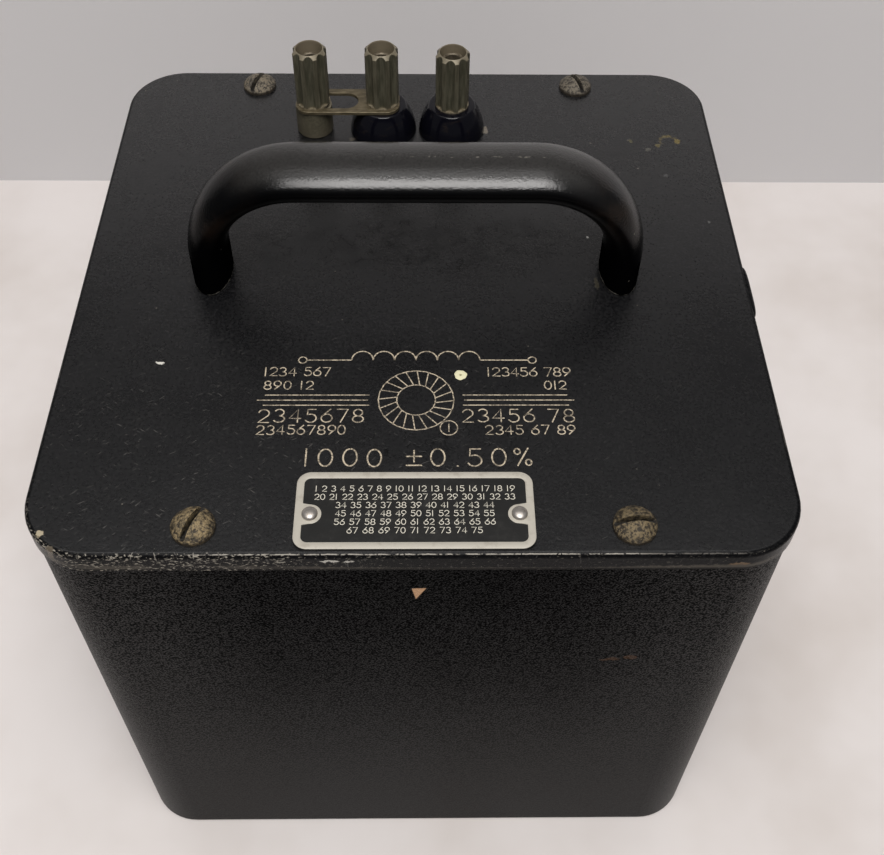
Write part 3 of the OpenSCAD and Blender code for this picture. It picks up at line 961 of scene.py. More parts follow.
@dataclass(frozen=True)
class SpottedPlating:
    """Corroded plating of the lid screws: tan crust on dark spots."""

    crust: Colour = tone(0.28, 0.21, 0.112)
    metal: Colour = tone(0.075, 0.06, 0.036)
    rust: Colour = tone(0.02, 0.0145, 0.009)
    grey: Colour = tone(0.13, 0.121, 0.105)
    shade: Colour = tone(0.005, 0.004, 0.003)

    def build(self) -> Material:
        """Builds the crust, greyer on the back screws and darker at the rims as painted shade.

        Returns:
            The material.
        """
        sheet = Sheet("corroded_screw")
        place = sheet.place()
        x, y, z = sheet.axes(place)
        crust = sheet.noise(place, 0.8, detail=4.0, rough=0.7)
        blend = crust * 0.7 + sheet.noise(place, 2.6) * 0.3
        colour = sheet.mix(blend.step(0.42, 0.6), self.metal, self.crust)
        right = x.step(0.0, 20.0)
        back = y.step(0.0, 20.0)
        colour = sheet.mix(right * 0.5, colour, self.metal)
        colour = sheet.mix(back * 0.65, colour, self.grey)
        worse = crust - (right | back) * 0.035
        colour = sheet.mix(worse.step(0.49, 0.39) * 0.9, colour, self.rust)
        # The lower rim of each head is darkened by height as painted shade under the dome.
        rim = z + crust.between(-1.2, 1.2)
        colour = sheet.mix(rim.step(LID_TOP + 1.7, LID_TOP + 0.5) * 0.85, colour, self.rust)
        colour = sheet.mix(sheet.attribute("slot") * 0.95, colour, self.shade)
        rough = crust.between(0.42, 0.72)
        return sheet.dress(colour=colour, metal=0.3, rough=rough, normal=sheet.bump(crust, 0.4))


@dataclass(frozen=True)
class Tarnish:
    """Dark tarnished plating with drawn streaks, worn to brass where the piece says so."""

    name: str
    dark: Colour
    light: Colour
    streak: Place = (1.0, 1.0, 0.12)
    has_wear: bool = True
    metal: float = 0.55
    brass: Colour = tone(0.235, 0.198, 0.138)

    def build(self) -> Material:
        """Builds the finish.

        Returns:
            The material.
        """
        sheet = Sheet(self.name)
        place = sheet.place()
        lines = sheet.noise(sheet.stretched(place, self.streak), 0.7, detail=3.0, rough=0.6)
        cloud = sheet.noise(place, 3.0, detail=4.0, rough=0.6)
        colour = sheet.mix(lines.step(0.38, 0.66), self.dark, self.light)
        spots = sheet.noise(place, 0.8, detail=3.0).step(0.6, 0.7)
        colour = sheet.mix(spots * 0.5, colour, self.dark)
        wear = cloud.step(0.6, 0.8) * 0.3
        if self.has_wear:
            given = sheet.attribute("wear")
            wear = sheet.math("ADD", given, given * cloud.between(-0.5, 0.5), clamp=True) | wear
        colour = sheet.mix(wear, colour, self.brass)
        rough = cloud.between(0.34, 0.5) + lines * 0.08
        return sheet.dress(colour=colour, metal=self.metal, rough=rough, normal=sheet.bump(lines, 0.03))


@dataclass(frozen=True)
class Moulding:
    """Glossy black moulded insulators with faint flow marks."""

    black: Colour = tone(0.0026, 0.0026, 0.0048)
    brown: Colour = tone(0.012, 0.009, 0.008)

    def build(self) -> Material:
        """Builds the finish.

        Returns:
            The material.
        """
        sheet = Sheet("phenolic")
        place = sheet.place()
        flow = sheet.noise(sheet.stretched(place, (1.0, 1.0, 2.4)), 3.4, detail=4.0, warp=0.6)
        fine = sheet.noise(place, 0.6, detail=3.0)
        colour = sheet.mix(flow.step(0.58, 0.8), self.black, self.brown)
        rough = flow.between(0.07, 0.17) + fine * 0.04
        return sheet.dress(colour=colour, rough=rough, gloss=0.26, normal=sheet.bump(fine, 0.006))


@dataclass(frozen=True)
class Print:
    """Cream filling of engraved lines, thin and dirty in places."""

    name: str = "cream_filling"
    cream: Colour = tone(0.5, 0.425, 0.315)
    dirty: Colour = tone(0.15, 0.125, 0.09)
    gaps: float = 0.42
    has_core: bool = False

    def build(self) -> Material:
        """Builds the finish.

        Returns:
            The material.
        """
        sheet = Sheet(self.name)
        place = sheet.place()
        crumbs = sheet.noise(place, 0.55, detail=3.0, rough=0.65)
        loss = crumbs * 0.7 + sheet.noise(place, 4.0) * 0.3
        colour = sheet.mix(loss.step(self.gaps + 0.14, self.gaps), self.cream, self.dirty)
        if self.has_core:
            colour = sheet.mix(sheet.attribute("core"), colour, self.dirty)
        return sheet.dress(colour=colour, rough=crumbs.between(0.5, 0.75), normal=sheet.bump(crumbs, 0.05))


@dataclass(frozen=True)
class Metal:
    """Plain bare metal with rub marks, for bright trim and hidden hardware."""

    name: str
    base: Colour
    stain: Colour
    rough: Point = (0.26, 0.42)
    metal: float = 0.85
    streak: Place = (1.0, 8.0, 8.0)

    def build(self) -> Material:
        """Builds the finish.

        Returns:
            The material.
        """
        sheet = Sheet(self.name)
        place = sheet.place()
        lines = sheet.noise(sheet.stretched(place, self.streak), 3.0, detail=3.0)
        cloud = sheet.noise(place, 2.2, detail=4.0, rough=0.6)
        colour = sheet.mix(cloud.step(0.52, 0.74), self.base, self.stain)
        rough = lines.between(*self.rough)
        return sheet.dress(colour=colour, metal=self.metal, rough=rough, normal=sheet.bump(lines, 0.01))


@dataclass(frozen=True)
class Grained:
    """Dull grained stuff for the inner pieces: cork, ceramic, fibre and compound."""

    name: str
    light: Colour
    dark: Colour
    grain: float
    depth: float
    rough: Point = (0.6, 0.85)

    def build(self) -> Material:
        """Builds the finish.

        Returns:
            The material.
        """
        sheet = Sheet(self.name)
        place = sheet.place()
        seeds = sheet.cells(sheet.warped(place, self.grain, self.grain), self.grain, Cell.SEED)
        cloud = sheet.noise(place, 4 * self.grain, detail=4.0, rough=0.6)
        colour = sheet.mix((seeds * 0.6 + cloud * 0.5).step(0.3, 0.75), self.light, self.dark)
        rough = cloud.between(*self.rough)
        return sheet.dress(colour=colour, rough=rough, normal=sheet.bump(seeds, self.depth))


@dataclass(frozen=True)
class WoundWire:
    """Enamelled copper turns that lie side by side round the ring."""

    bright: Colour = tone(0.5, 0.2, 0.075)
    # The deep colour is painted shade in the grooves between turns.
    deep: Colour = tone(0.12, 0.035, 0.012)
    turns: float = 168.0

    def build(self) -> Material:
        """Builds a wave of the angle round the middle, once for each turn, that darkens the grooves as
        painted shade.

        Returns:
            The material.
        """
        sheet = Sheet("copper_turns")
        place = sheet.place()
        around = sheet.node("ShaderNodeTexGradient", {"Vector": place}, gradient_type="RADIAL")
        angle = Field(sheet, around.outputs["Fac"]) * (self.turns * 2 * np.pi)
        wave = sheet.math("SINE", angle).between(0.5, 1.0)
        cloud = sheet.noise(place, 5.0, detail=3.0)
        # Darker in the grooves between turns: painted shade.
        colour = sheet.mix(wave * cloud.between(0.6, 1.1), self.deep, self.bright)
        rough = cloud.between(0.25, 0.4)
        return sheet.dress(colour=colour, metal=0.75, rough=rough, normal=sheet.bump(wave, 0.5))


@dataclass(frozen=True)
class PlateEnamel:
    """Black background of the nameplate, faintly mottled."""

    black: Colour = tone(0.0046, 0.0046, 0.0042)
    worn: Colour = tone(0.014, 0.0138, 0.0125)

    def build(self) -> Material:
        """Builds the finish.

        Returns:
            The material.
        """
        sheet = Sheet("plate_black")
        place = sheet.place()
        cloud = sheet.noise(place, 2.6, detail=4.0, rough=0.65)
        fine = sheet.noise(place, 0.4)
        colour = sheet.mix(cloud.step(0.5, 0.75), self.black, self.worn)
        rough = cloud.between(0.36, 0.52)
        return sheet.dress(colour=colour, rough=rough, gloss=0.43, normal=sheet.bump(fine, 0.012))


# Handle


@dataclass
class Handle:
    """Oval bar on two feet: straight legs, quarter bends and a straight bar."""

    thick: float = 9.6
    deep: float = 18.2
    ease: float = 0.35
    leg_rise: tuple[float, ...] = (2.0, 4.4, 6.6, HANDLE_LEG)
    sole: float = 0.02
    bend_points: int = 33
    bar_points: int = 9
    around: int = 72

    def centre_line(self) -> tuple[Array, Array]:
        """Middle line from the left foot to the right foot.

        Returns:
            Places in X and Z, and the direction across the bar at each place.
        """
        reach = HANDLE_SPAN / 2 - HANDLE_BEND
        level = LID_TOP + HANDLE_LEG
        rise = np.array([0.0, self.sole, self.ease, *self.leg_rise])
        turn = np.radians(np.linspace(180.0, 90.0, self.bend_points))[1:]
        left_leg = np.stack([np.full(len(rise), -HANDLE_SPAN / 2), LID_TOP + rise], axis=1)
        left_way = np.stack([np.full(len(rise), -1.0), np.zeros(len(rise))], axis=1)
        out = np.stack([np.cos(turn), np.sin(turn)], axis=1)
        arc_line = np.array([-reach, level]) + HANDLE_BEND * out
        along = np.linspace(-reach, 0.0, self.bar_points)[1:]
        bar = np.stack([along, np.full(len(along), level + HANDLE_BEND)], axis=1)
        bar_way = np.stack([np.zeros(len(along)), np.ones(len(along))], axis=1)
        half = np.concatenate([left_leg, arc_line, bar])
        way = np.concatenate([left_way, out, bar_way])
        flip = np.array([-1.0, 1.0])
        return np.concatenate([half, half[-2::-1] * flip]), np.concatenate([way, way[-2::-1] * flip])

    def surface(self) -> Patch:
        """Carries the oval along the middle line, and closes it at the feet.

        A point is P + n (thick / 2) cos a + Y (deep / 2) sin a, with n across the bar.

        Returns:
            The closed bar.
        """
        line, way = self.centre_line()
        size = np.ones(len(line))
        size[[0, -1]] = 0.0
        size[[1, -2]] = 1.0 - 2 * self.ease / self.thick
        angle = np.linspace(0.0, 2 * np.pi, self.around, endpoint=False)
        across = size[:, None] * self.thick / 2 * np.cos(angle)
        depth = size[:, None] * self.deep / 2 * np.sin(angle)
        x = line[:, :1] + way[:, :1] * across
        z = line[:, 1:] + way[:, 1:] * across
        points = np.stack([x, depth, z], axis=-1).reshape(-1, 3)
        return Patch(points, grid_quads(len(line), self.around, wrap_cols=True))

    def build(self, finish: Material) -> None:
        """Builds the bar in its finish."""
        piece = make_piece("handle_bar", self.surface(), finish, Body.CASE)
        stands_for("handle")


# Binding posts


@dataclass
class BindingPost:
    """Stud, base and fluted nut of one post."""

    name: str
    x: float
    nut_body: Body
    nut_foot: float
    nut_turn: float = 0.0
    y: float = 56.3
    base_top: float = 164.4
    base_bore_r: float = 3.375
    pitch: float = INCH / 28
    thread: float = 0.4
    thread_step: float = 0.113
    thread_end: float = 0.45
    thread_start: float = 0.4
    stud_r: float = 3.15
    stud_foot: float = 140.0
    stud_top: float = 179.2
    shoulder_r: float = 4.0
    shoulder_t: float = 1.2
    shoulder_ease: float = 0.15
    shoulder_gap: float = 0.05
    stud_around: int = 72
    jack_r: float = 2.1
    jack_z: float = 165.2
    jack_flare: Point = (0.25, 0.3)
    bore_r: float = 3.28
    nut_r: float = 4.6
    nut_h: float = 16.4
    nut_ease: float = 0.9
    nut_around: int = 160
    bevel_points: int = 15
    foot_ease: tuple[Point, ...] = ((0.6, 0.0), (0.22, 0.0), (0.07, 0.07))
    foot_rows: tuple[float, ...] = (0.22, 0.5, 0.9, 1.5)
    mouth_r: float = 3.5
    mouth_depth: float = 4.2
    mouth_rim: tuple[Point, ...] = ((0.12, 0.01), (0.04, -0.02), (0.0, -0.1))
    flutes: int = 8
    flute_r: float = 1.6
    flute_depth: float = 0.75
    flute_ease: float = 0.12

    @property
    def seat(self) -> float:
        """Height of the shoulder's underside."""
        return self.base_top - self.shoulder_t

    def stud(self) -> Patch:
        """Turns the stud: a thread below and above its shoulder, and a blind bore on top.

        Returns:
            The stud, with no wear on it.
        """
        low = np.arange(self.stud_foot + self.thread_start, self.seat, self.thread_step)
        high = np.arange(self.base_top + 0.02, self.stud_top - self.thread_start, self.thread_step)
        flare, flare_depth = self.jack_flare
        r = self.stud_r
        wide = self.shoulder_r
        ease = self.shoulder_ease
        rows = [(0.0, self.stud_foot), (r - self.thread_end, self.stud_foot)]
        rows += [(r, level) for level in low]
        rows += [(r, self.seat), (wide - ease, self.seat), (wide, self.seat + ease)]
        rows += [(wide, self.base_top - ease), (wide - ease, self.base_top)]
        rows += [(r, level) for level in high]
        rows += [(r - self.thread_end, self.stud_top), (self.jack_r + flare, self.stud_top)]
        rows += [(self.jack_r, self.stud_top - flare_depth), (self.jack_r, self.jack_z)]
        rows += [(0.0, self.jack_z)]
        thread = Thread(r, self.thread, self.pitch)
        patch = turned(np.array(rows), self.x, self.y, self.stud_around, radius=thread.radius)
        patch.values["wear"] = np.zeros(len(patch.points))
        return patch

    def flute(self, angle: Array) -> Array:
        """Outer radius of the nut at an angle.

        A flute is a circle of radius f about a point at distance D: the radius is
        D cos d - sqrt(f^2 - D^2 sin^2 d) at an angle d from it, eased into the land.

        Args:
            angle: Angles round the nut.

        Returns:
            Radius at each angle.
        """
        step = 2 * np.pi / self.flutes
        start = np.radians(self.nut_turn - 90.0)
        off = (angle - start + step / 2) % step - step / 2
        centre = self.nut_r + self.flute_r - self.flute_depth
        room = np.maximum(self.flute_r**2 - (centre * np.sin(off)) ** 2, 0.0)
        hollow = centre * np.cos(off) - np.sqrt(room)
        hollow = np.where(np.abs(centre * np.sin(off)) < self.flute_r, hollow, 2 * self.nut_r)
        blend = np.clip(0.5 + 0.5 * (hollow - self.nut_r) / self.flute_ease, 0.0, 1.0)
        return hollow * (1 - blend) + self.nut_r * blend - self.flute_ease * blend * (1 - blend) / 2

    def nut_profile(self) -> Array:
        """Draws the nut's section, from its foot up the outside and down the bore.

        Returns:
            Radii and heights.
        """
        foot = self.nut_foot
        top = foot + self.nut_h
        r = self.nut_r
        b = self.bore_r
        m = self.mouth_r
        shaft = np.linspace(3.0, self.nut_h - self.nut_ease - 0.3, 7)
        bevel = np.linspace(0.0, self.nut_ease, self.bevel_points)
        rows = [(b + self.thread_end, foot)]
        rows += [(r - inward, foot + up) for inward, up in self.foot_ease]
        rows += [(r, foot + level) for level in (*self.foot_rows, *shaft)]
        rows += [(r - inward, top - self.nut_ease + inward) for inward in bevel]
        rows += [(m + outward, top + up) for outward, up in self.mouth_rim]
        rows += [(m, top - depth) for depth in np.linspace(0.4, self.mouth_depth, 7)]
        bore = np.arange(top - self.mouth_depth, foot + self.thread_end, -self.thread_step)
        return np.array(rows + [(b, level) for level in bore])

    def nut(self) -> Patch:
        """Turns the nut: fluted outside, bevelled top, plain mouth and a threaded bore.

        The radius is the lesser of the profile's and the fluted one, so that the flutes
        cut scallops into the bevel and leave the rim and the bore round.

        Returns:
            The nut with its wear.
        """
        profile = self.nut_profile()
        thread = Thread(self.bore_r, self.thread, self.pitch)
        mouth = self.nut_foot + self.nut_h - self.mouth_depth

        def reach(radius: Array, height: Array, angle: Array) -> Array:
            """Flutes the outside and threads the bore, with the thread fading at the mouth."""
            fade = np.clip((mouth - height) / self.nut_ease, 0.0, 1.0)
            return np.minimum(radius, self.flute(angle)) - fade * thread.cut(radius, height, angle)

        patch = turned(profile, self.x, self.y, self.nut_around, closed=True, radius=reach)
        patch.values["wear"] = self.nut_wear(profile, patch)
        return patch

    def nut_wear(self, profile: Array, patch: Patch) -> Array:
        """Wear of the nut: the bevel, the mouth and the foot, with the flutes left dark.

        Args:
            profile: Radii and heights of the nut.
            patch: The turned nut.

        Returns:
            Wear at each point, from 0 to 1.
        """
        near = 0.02
        level = patch.points[:, 2] - self.nut_foot
        radius = np.hypot(patch.points[:, 0] - self.x, patch.points[:, 1] - self.y)
        plain = np.repeat(profile[:, 0], len(patch.points) // len(profile))
        bevel = (level > self.nut_h - self.nut_ease - near) * (radius > plain - near) * 0.6
        mouth = ((radius < self.mouth_r + near) & (level > self.nut_h - self.mouth_depth)) * 1.0
        foot = np.clip((0.5 - level) / 0.4, 0.0, 1.0) * 0.6
        land = np.clip((radius - self.nut_r + 0.2) / 0.2, 0.0, 1.0) * 0.12
        return np.maximum.reduce([bevel, mouth, foot, land])

    def build(self, finishes: Finishes) -> None:
        """Builds the stud, base and nut.

        Args:
            finishes: Materials by their short names.
        """
        stud = make_piece(f"{self.name}_stud", self.stud(), finishes["stud"], Body.CASE)
        stands_for(f"{self.name}_post_stud")
        nut = make_piece(f"{self.name}_nut_fluted", self.nut(), finishes["nut"], self.nut_body)
        stands_for(f"{self.name}_thumb_nut")
        self.build_base(finishes)

    def build_base(self, finishes: Finishes) -> None:
        """Builds what the post stands on."""
        raise NotImplementedError

    def socket(self) -> list[Point]:
        """Corners of the recess round the shoulder, from the top of the base to its bore."""
        wide = self.shoulder_r + self.shoulder_gap
        return [(wide, self.base_top), (wide, self.seat), (self.base_bore_r, self.seat)]


@dataclass
class GroundPost(BindingPost):
    """Post on a plain metal base that touches the lid."""

    base_r: float = 5.0
    base_ease: float = 0.6
    base_around: int = 96
    rim_wear: float = 0.6

    def build_base(self, finishes: Finishes) -> None:
        """Turns the metal base, with eased rims that are rubbed.

        Args:
            finishes: Materials by their short names.
        """
        corners = [(self.base_bore_r, LID_TOP), (self.base_r, LID_TOP), (self.base_r, self.base_top)]
        profile = eased_corners(corners + self.socket(), self.base_ease)
        patch = turned(profile, self.x, self.y, self.base_around, closed=True)
        level = patch.points[:, 2] - LID_TOP
        foot = np.clip((0.8 - level) / 0.5, 0.0, 1.0)
        rim = np.clip((level - 7.9) / 0.5, 0.0, 1.0)
        patch.values["wear"] = np.maximum(foot, rim) * self.rim_wear
        piece = make_piece("ground_base_turned", patch, finishes["base"], Body.CASE)
        stands_for("ground_post_base")


@dataclass
class InsulatedPost(BindingPost):
    """Post on a moulded cone."""

    cone_foot_r: float = 9.2
    cone_top_r: float = 6.3
    cone_belly: float = 0.6
    cone_ease: float = 0.4
    cone_points: int = 13
    cone_around: int = 128
    spigot_r: float = 5.0
    spigot_foot: float = 152.2

    def build_base(self, finishes: Finishes) -> None:
        """Turns the moulded cone and its spigot.

        The side is a straight line that swells by 4 b t (1 - t), with b the belly and t
        the share of the height.

        Args:
            finishes: Materials by their short names.
        """
        share = np.linspace(0.0, 1.0, self.cone_points)
        swell = self.cone_foot_r + (self.cone_top_r - self.cone_foot_r) * share
        swell = swell + 4 * self.cone_belly * share * (1 - share)
        side = np.stack([swell, LID_TOP + (self.base_top - LID_TOP) * share], axis=1)
        spigot = [(self.base_bore_r, self.spigot_foot), (self.spigot_r, self.spigot_foot)]
        corners = spigot + [(self.spigot_r, LID_TOP)] + [tuple(point) for point in side] + self.socket()
        profile = eased_corners(corners, self.cone_ease)
        patch = turned(profile, self.x, self.y, self.cone_around, closed=True)
        piece = make_piece(f"{self.name}_cone", patch, finishes["cone"], Body.CASE)
        stands_for(f"{self.name}_upper_insulator")


@dataclass
class GroundLink:
    """Strap between the ground and low posts, with eased edges."""

    ease: float = 0.22
    ease_steps: int = 3
    ease_from: float = 40.0
    flat_within: float = 1.0

    def strap(self) -> bpy.types.Mesh:
        """Copies the solid's mesh and merges its loose triangles into flat faces.

        Returns:
            The copy.
        """
        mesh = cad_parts["ground_link"].data.copy()
        mesh.name = "ground_link_strap"
        shell = bmesh.new()
        shell.from_mesh(mesh)
        bmesh.ops.remove_doubles(shell, verts=shell.verts, dist=MERGE)
        limit = np.radians(self.flat_within)
        bmesh.ops.dissolve_limit(shell, angle_limit=limit, verts=shell.verts, edges=shell.edges)
        shell.to_mesh(mesh)
        shell.free()
        return mesh

    def build(self, finish: Material) -> None:
        """Builds the strap and eases its edges.

        Args:
            finish: Material of the strap.
        """
        piece = add_object("ground_link_strap", self.strap(), finish, Body.LINK)
        ease = piece.modifiers.new("ease", "BEVEL")
        ease.width = self.ease * MM
        ease.segments = self.ease_steps
        ease.limit_method = "ANGLE"
        ease.angle_limit = np.radians(self.ease_from)
        ease.harden_normals = False
        stands_for("ground_link")


# Fasteners


@dataclass
class LidScrew:
    """Round-headed screw with a worn slot."""

    x: float
    y: float
    turn: float
    seed: int
    head_r: float = 4.65
    head_h: float = 3.3
    side_h: float = 0.9
    head_points: tuple[int, int] = (26, 49)
    slot_w: float = 1.0
    slot_z: float = 1.2
    slot_edge: float = 0.14
    slot_rows: tuple[float, ...] = (-0.12, -0.04, 0.04)
    slot_wall: Point = (0.09, 0.16)
    relief: tuple[Point, Point] = ((0.9, 0.035), (3.0, 0.03))
    shank_r: float = 2.4
    shank_l: float = 18.0
    shank_tip: float = 0.5
    shank_neck: float = 0.6
    shank_around: int = 40
    thread: float = 0.35
    thread_step: float = 0.15
    pitch: float = INCH / 24

    def head(self) -> Patch:
        """Dome with a slot, as a height over a disc.

        The disc is x = s sqrt(R^2 - t^2), y = t, so that lines of t run along the slot.
        The height is the dome, cut down to the slot's floor, with a little relief.

        Returns:
            The head, with the slot marked.
        """
        half = self.slot_w / 2
        edge = self.slot_edge
        rows, cols = self.head_points
        outer = half + edge + (self.head_r - half - edge) * np.sin(np.linspace(0, np.pi / 2, rows))
        inner = [0.0, half / 2] + [half + row for row in self.slot_rows]
        side = np.concatenate([inner, outer])
        across = np.concatenate([-side[:0:-1], side])[:, None]
        share = np.sin(np.linspace(-np.pi / 2, np.pi / 2, cols))[None, :]
        x = share * np.sqrt(np.maximum(self.head_r**2 - across**2, 0.0))
        y = across + 0 * x
        rise = self.head_h - self.side_h
        dome_r = (self.head_r**2 + rise**2) / (2 * rise)
        (fine, low), (broad, high) = self.relief
        rough = ripple(x, y, self.seed, fine) * low + ripple(x, y, self.seed + 9, broad) * high
        z = self.head_h - dome_r + np.sqrt(dome_r**2 - x**2 - y**2) + rough
        lip, slope = self.slot_wall
        wall = np.clip((half + lip - np.abs(y)) / slope, 0.0, 1.0)
        slot = np.where(z > self.slot_z, wall, 0.0)
        z = np.where(z > self.slot_z, z + (self.slot_z + rough - z) * wall, z)
        middle = np.zeros((len(across), 1))
        x = np.concatenate([middle, x[:, :1], x, x[:, -1:], middle], axis=1)
        y = np.concatenate([across, across, y, across, across], axis=1)
        z = np.concatenate([middle, middle, z, middle, middle], axis=1)
        turn = np.radians(self.turn)
        spun_x = self.x + x * np.cos(turn) - y * np.sin(turn)
        spun_y = self.y + x * np.sin(turn) + y * np.cos(turn)
        points = np.stack([spun_x, spun_y, LID_TOP + z], axis=-1)
        slot = np.pad(slot, ((0, 0), (2, 2)))
        return Patch(points.reshape(-1, 3), grid_quads(*x.shape), {"slot": slot.ravel()})

    def shank(self) -> Patch:
        """Turns the threaded shank, hidden in the case.

        Returns:
            The shank.
        """
        foot = LID_TOP - self.shank_l
        r = self.shank_r
        neck = r - self.thread
        tip = self.shank_tip
        levels = np.arange(foot + tip, LID_TOP - self.shank_neck, self.thread_step)
        rows = [(0.0, foot), (r - tip, foot)] + [(r, level) for level in levels]
        rows += [(neck, LID_TOP - self.shank_neck / 2), (neck, LID_TOP), (0.0, LID_TOP)]
        thread = Thread(r, self.thread, self.pitch)
        patch = turned(np.array(rows), self.x, self.y, self.shank_around, radius=thread.radius)
        patch.values["slot"] = np.zeros(len(patch.points))
        return patch


@dataclass
class LidScrews:
    """The four screws that hold the lid."""

    across: float = 46.0
    along: float = 75.55
    turns: tuple[float, ...] = (66.0, 4.0, 65.0, -65.0)
    first_seed: int = 20

    def build(self, finish: Material) -> None:
        """Builds all four as one piece.

        Args:
            finish: Material of the screws.
        """
        sides = [(-1, -1), (1, -1), (-1, 1), (1, 1)]
        patches = []
        for number, ((side, back), turn) in enumerate(zip(sides, self.turns)):
            screw = LidScrew(side * self.across, back * self.along, turn, self.first_seed + number)
            patches += [screw.head(), screw.shank()]
        piece = make_piece("lid_screws_worn", joined(patches), finish, Body.CASE)
        stands_for("lid_screws")


# Engraving and print


def arc(x: float, y: float, half_x: float, half_y: float, start: float, end: float) -> Array:
    """Points on part of an oval.

    Args:
        x: Middle of the oval.
        y: Middle of the oval.
        half_x: Half of its width.
        half_y: Half of its height.
        start: First angle in degrees.
        end: Last angle in degrees.

    Returns:
        The points.
    """
    steps = max(ARC_POINTS, int(abs(end - start) / ARC_STEP) + 1)
    angle = np.radians(np.linspace(start, end, steps))
    return np.stack([x + half_x * np.cos(angle), y + half_y * np.sin(angle)], axis=1)


def path(*runs: Array | Point) -> Array:
    """Strings points and runs of points into one path."""
    return np.concatenate([np.atleast_2d(np.asarray(run, dtype=float)) for run in runs])


def glyphs() -> dict[str, list[Array]]:
    """Draws plain engraved figures and signs.

    Returns:
        Paths of each sign, one unit high.
    """
    return {
        "0": [arc(0.35, 0.5, 0.33, 0.5, 90, 450)],
        "1": [path((0.14, 0.0), (0.14, 1.0))],
        "2": [path(arc(0.34, 0.7, 0.32, 0.3, 165, -38), (0.02, 0.0), (0.68, 0.0))],
        "3": [path(arc(0.33, 0.75, 0.28, 0.25, 150, -90), arc(0.33, 0.25, 0.34, 0.25, 90, -150))],
        "4": [path((0.52, 0.0), (0.52, 1.0), (0.0, 0.3), (0.7, 0.3))],
        "5": [path((0.62, 1.0), (0.13, 1.0), arc(0.33, 0.32, 0.34, 0.32, 128, -150))],
        "6": [path((0.56, 1.0), arc(0.35, 0.31, 0.33, 0.31, 150, 510))],
        "7": [path((0.02, 1.0), (0.68, 1.0), (0.25, 0.0))],
        "8": [arc(0.35, 0.75, 0.27, 0.25, -90, 270), arc(0.35, 0.25, 0.33, 0.25, 90, 450)],
        "9": [path((0.14, 0.0), arc(0.35, 0.69, 0.33, 0.31, -30, 330))],
        ".": [path((0.1, 0.02), (0.14, 0.02))],
        "+": [
            path((0.0, 0.56), (0.7, 0.56)),
            path((0.35, 0.24), (0.35, 0.9)),
            path((0.0, 0.04), (0.7, 0.04)),
        ],
        "%": [
            arc(0.1, 0.82, 0.14, 0.17, 0, 360),
            arc(0.62, 0.18, 0.14, 0.17, 0, 360),
            path((0.62, 1.0), (0.1, 0.0)),
        ],
    }


def stroke(line: Array, width: float, level: float, proud: float, sink: float = 0.08) -> Patch:
    """Carries a low crowned section along a flat path, with round ends.

    Across the path the section runs from -w/2 to w/2; its top is proud of the face and
    its bottom sunk in it. Near an end, at a share o of w/2 past it, the width is
    w sqrt(1 - o^2).

    Args:
        line: Points of the path in X and Y.
        width: Width of the line.
        level: Height of the face.
        proud: Height of the line over the face.
        sink: Depth of the line under the face.

    Returns:
        The closed line.
    """
    past = np.array([1.0, 0.9, 0.6])
    way = np.gradient(line, axis=0)
    way /= np.linalg.norm(way, axis=1, keepdims=True)
    head = line[0] - way[0] * (past[:, None] * width / 2)
    tail = line[-1] + way[-1] * (past[::-1, None] * width / 2)
    facing = np.concatenate([np.repeat(way[:1], 3, 0), way, np.repeat(way[-1:], 3, 0)])
    narrow = np.sqrt(1 - past**2)
    size = np.concatenate([narrow, np.ones(len(line)), narrow[::-1]]) * width
    side = np.stack([-facing[:, 1], facing[:, 0]], axis=1)
    across = np.array([-0.5, -0.5, -0.3, 0.3, 0.5, 0.5])
    height = np.array([-sink, 0.4 * proud, proud, proud, 0.4 * proud, -sink])
    flat = np.concatenate([head, line, tail])[:, None] + side[:, None] * (size[:, None] * across)[..., None]
    rise = np.broadcast_to(level + height, flat.shape[:2])
    points = np.concatenate([flat, rise[..., None]], axis=-1)
    return Patch(points.reshape(-1, 3), grid_quads(len(flat), len(across), wrap_cols=True))


def advances(words: str) -> list[float]:
    """Shares of a plain step that the signs of a row take."""
    return [{" ": 0.62, ".": 0.5, "1": 0.62}.get(sign, 1.0) for sign in words]


@dataclass(frozen=True)
class Row:
    """Row of figures: its words, ends, foot, height and line width."""

    words: str
    left: float
    right: float
    foot: float
    height: float
    line: float
    jitter: float = 0.0
    last_width: float = 0.68

    def strokes(self, level: float, proud: float) -> list[Patch]:
        """Lays out the figures between the two ends.

        Args:
            level: Height of the face.
            proud: Height of the lines over it.

        Returns:
            The strokes of all figures.
        """
        shapes = glyphs()
        draw = np.random.default_rng(len(self.words) + int(abs(self.foot)))
        steps = np.cumsum([0.0] + advances(self.words)[:-1])
        room = self.right - self.left - self.last_width * self.height
        starts = self.left + steps / steps[-1] * room
        made = []
        for sign, start in zip(self.words, starts):
            corner = np.array([start, self.foot]) + draw.normal(0.0, 1.0, 2) * self.jitter
            for shape in shapes.get(sign, []):
                made.append(stroke(corner + shape * self.height, self.line, level, proud))
        return made


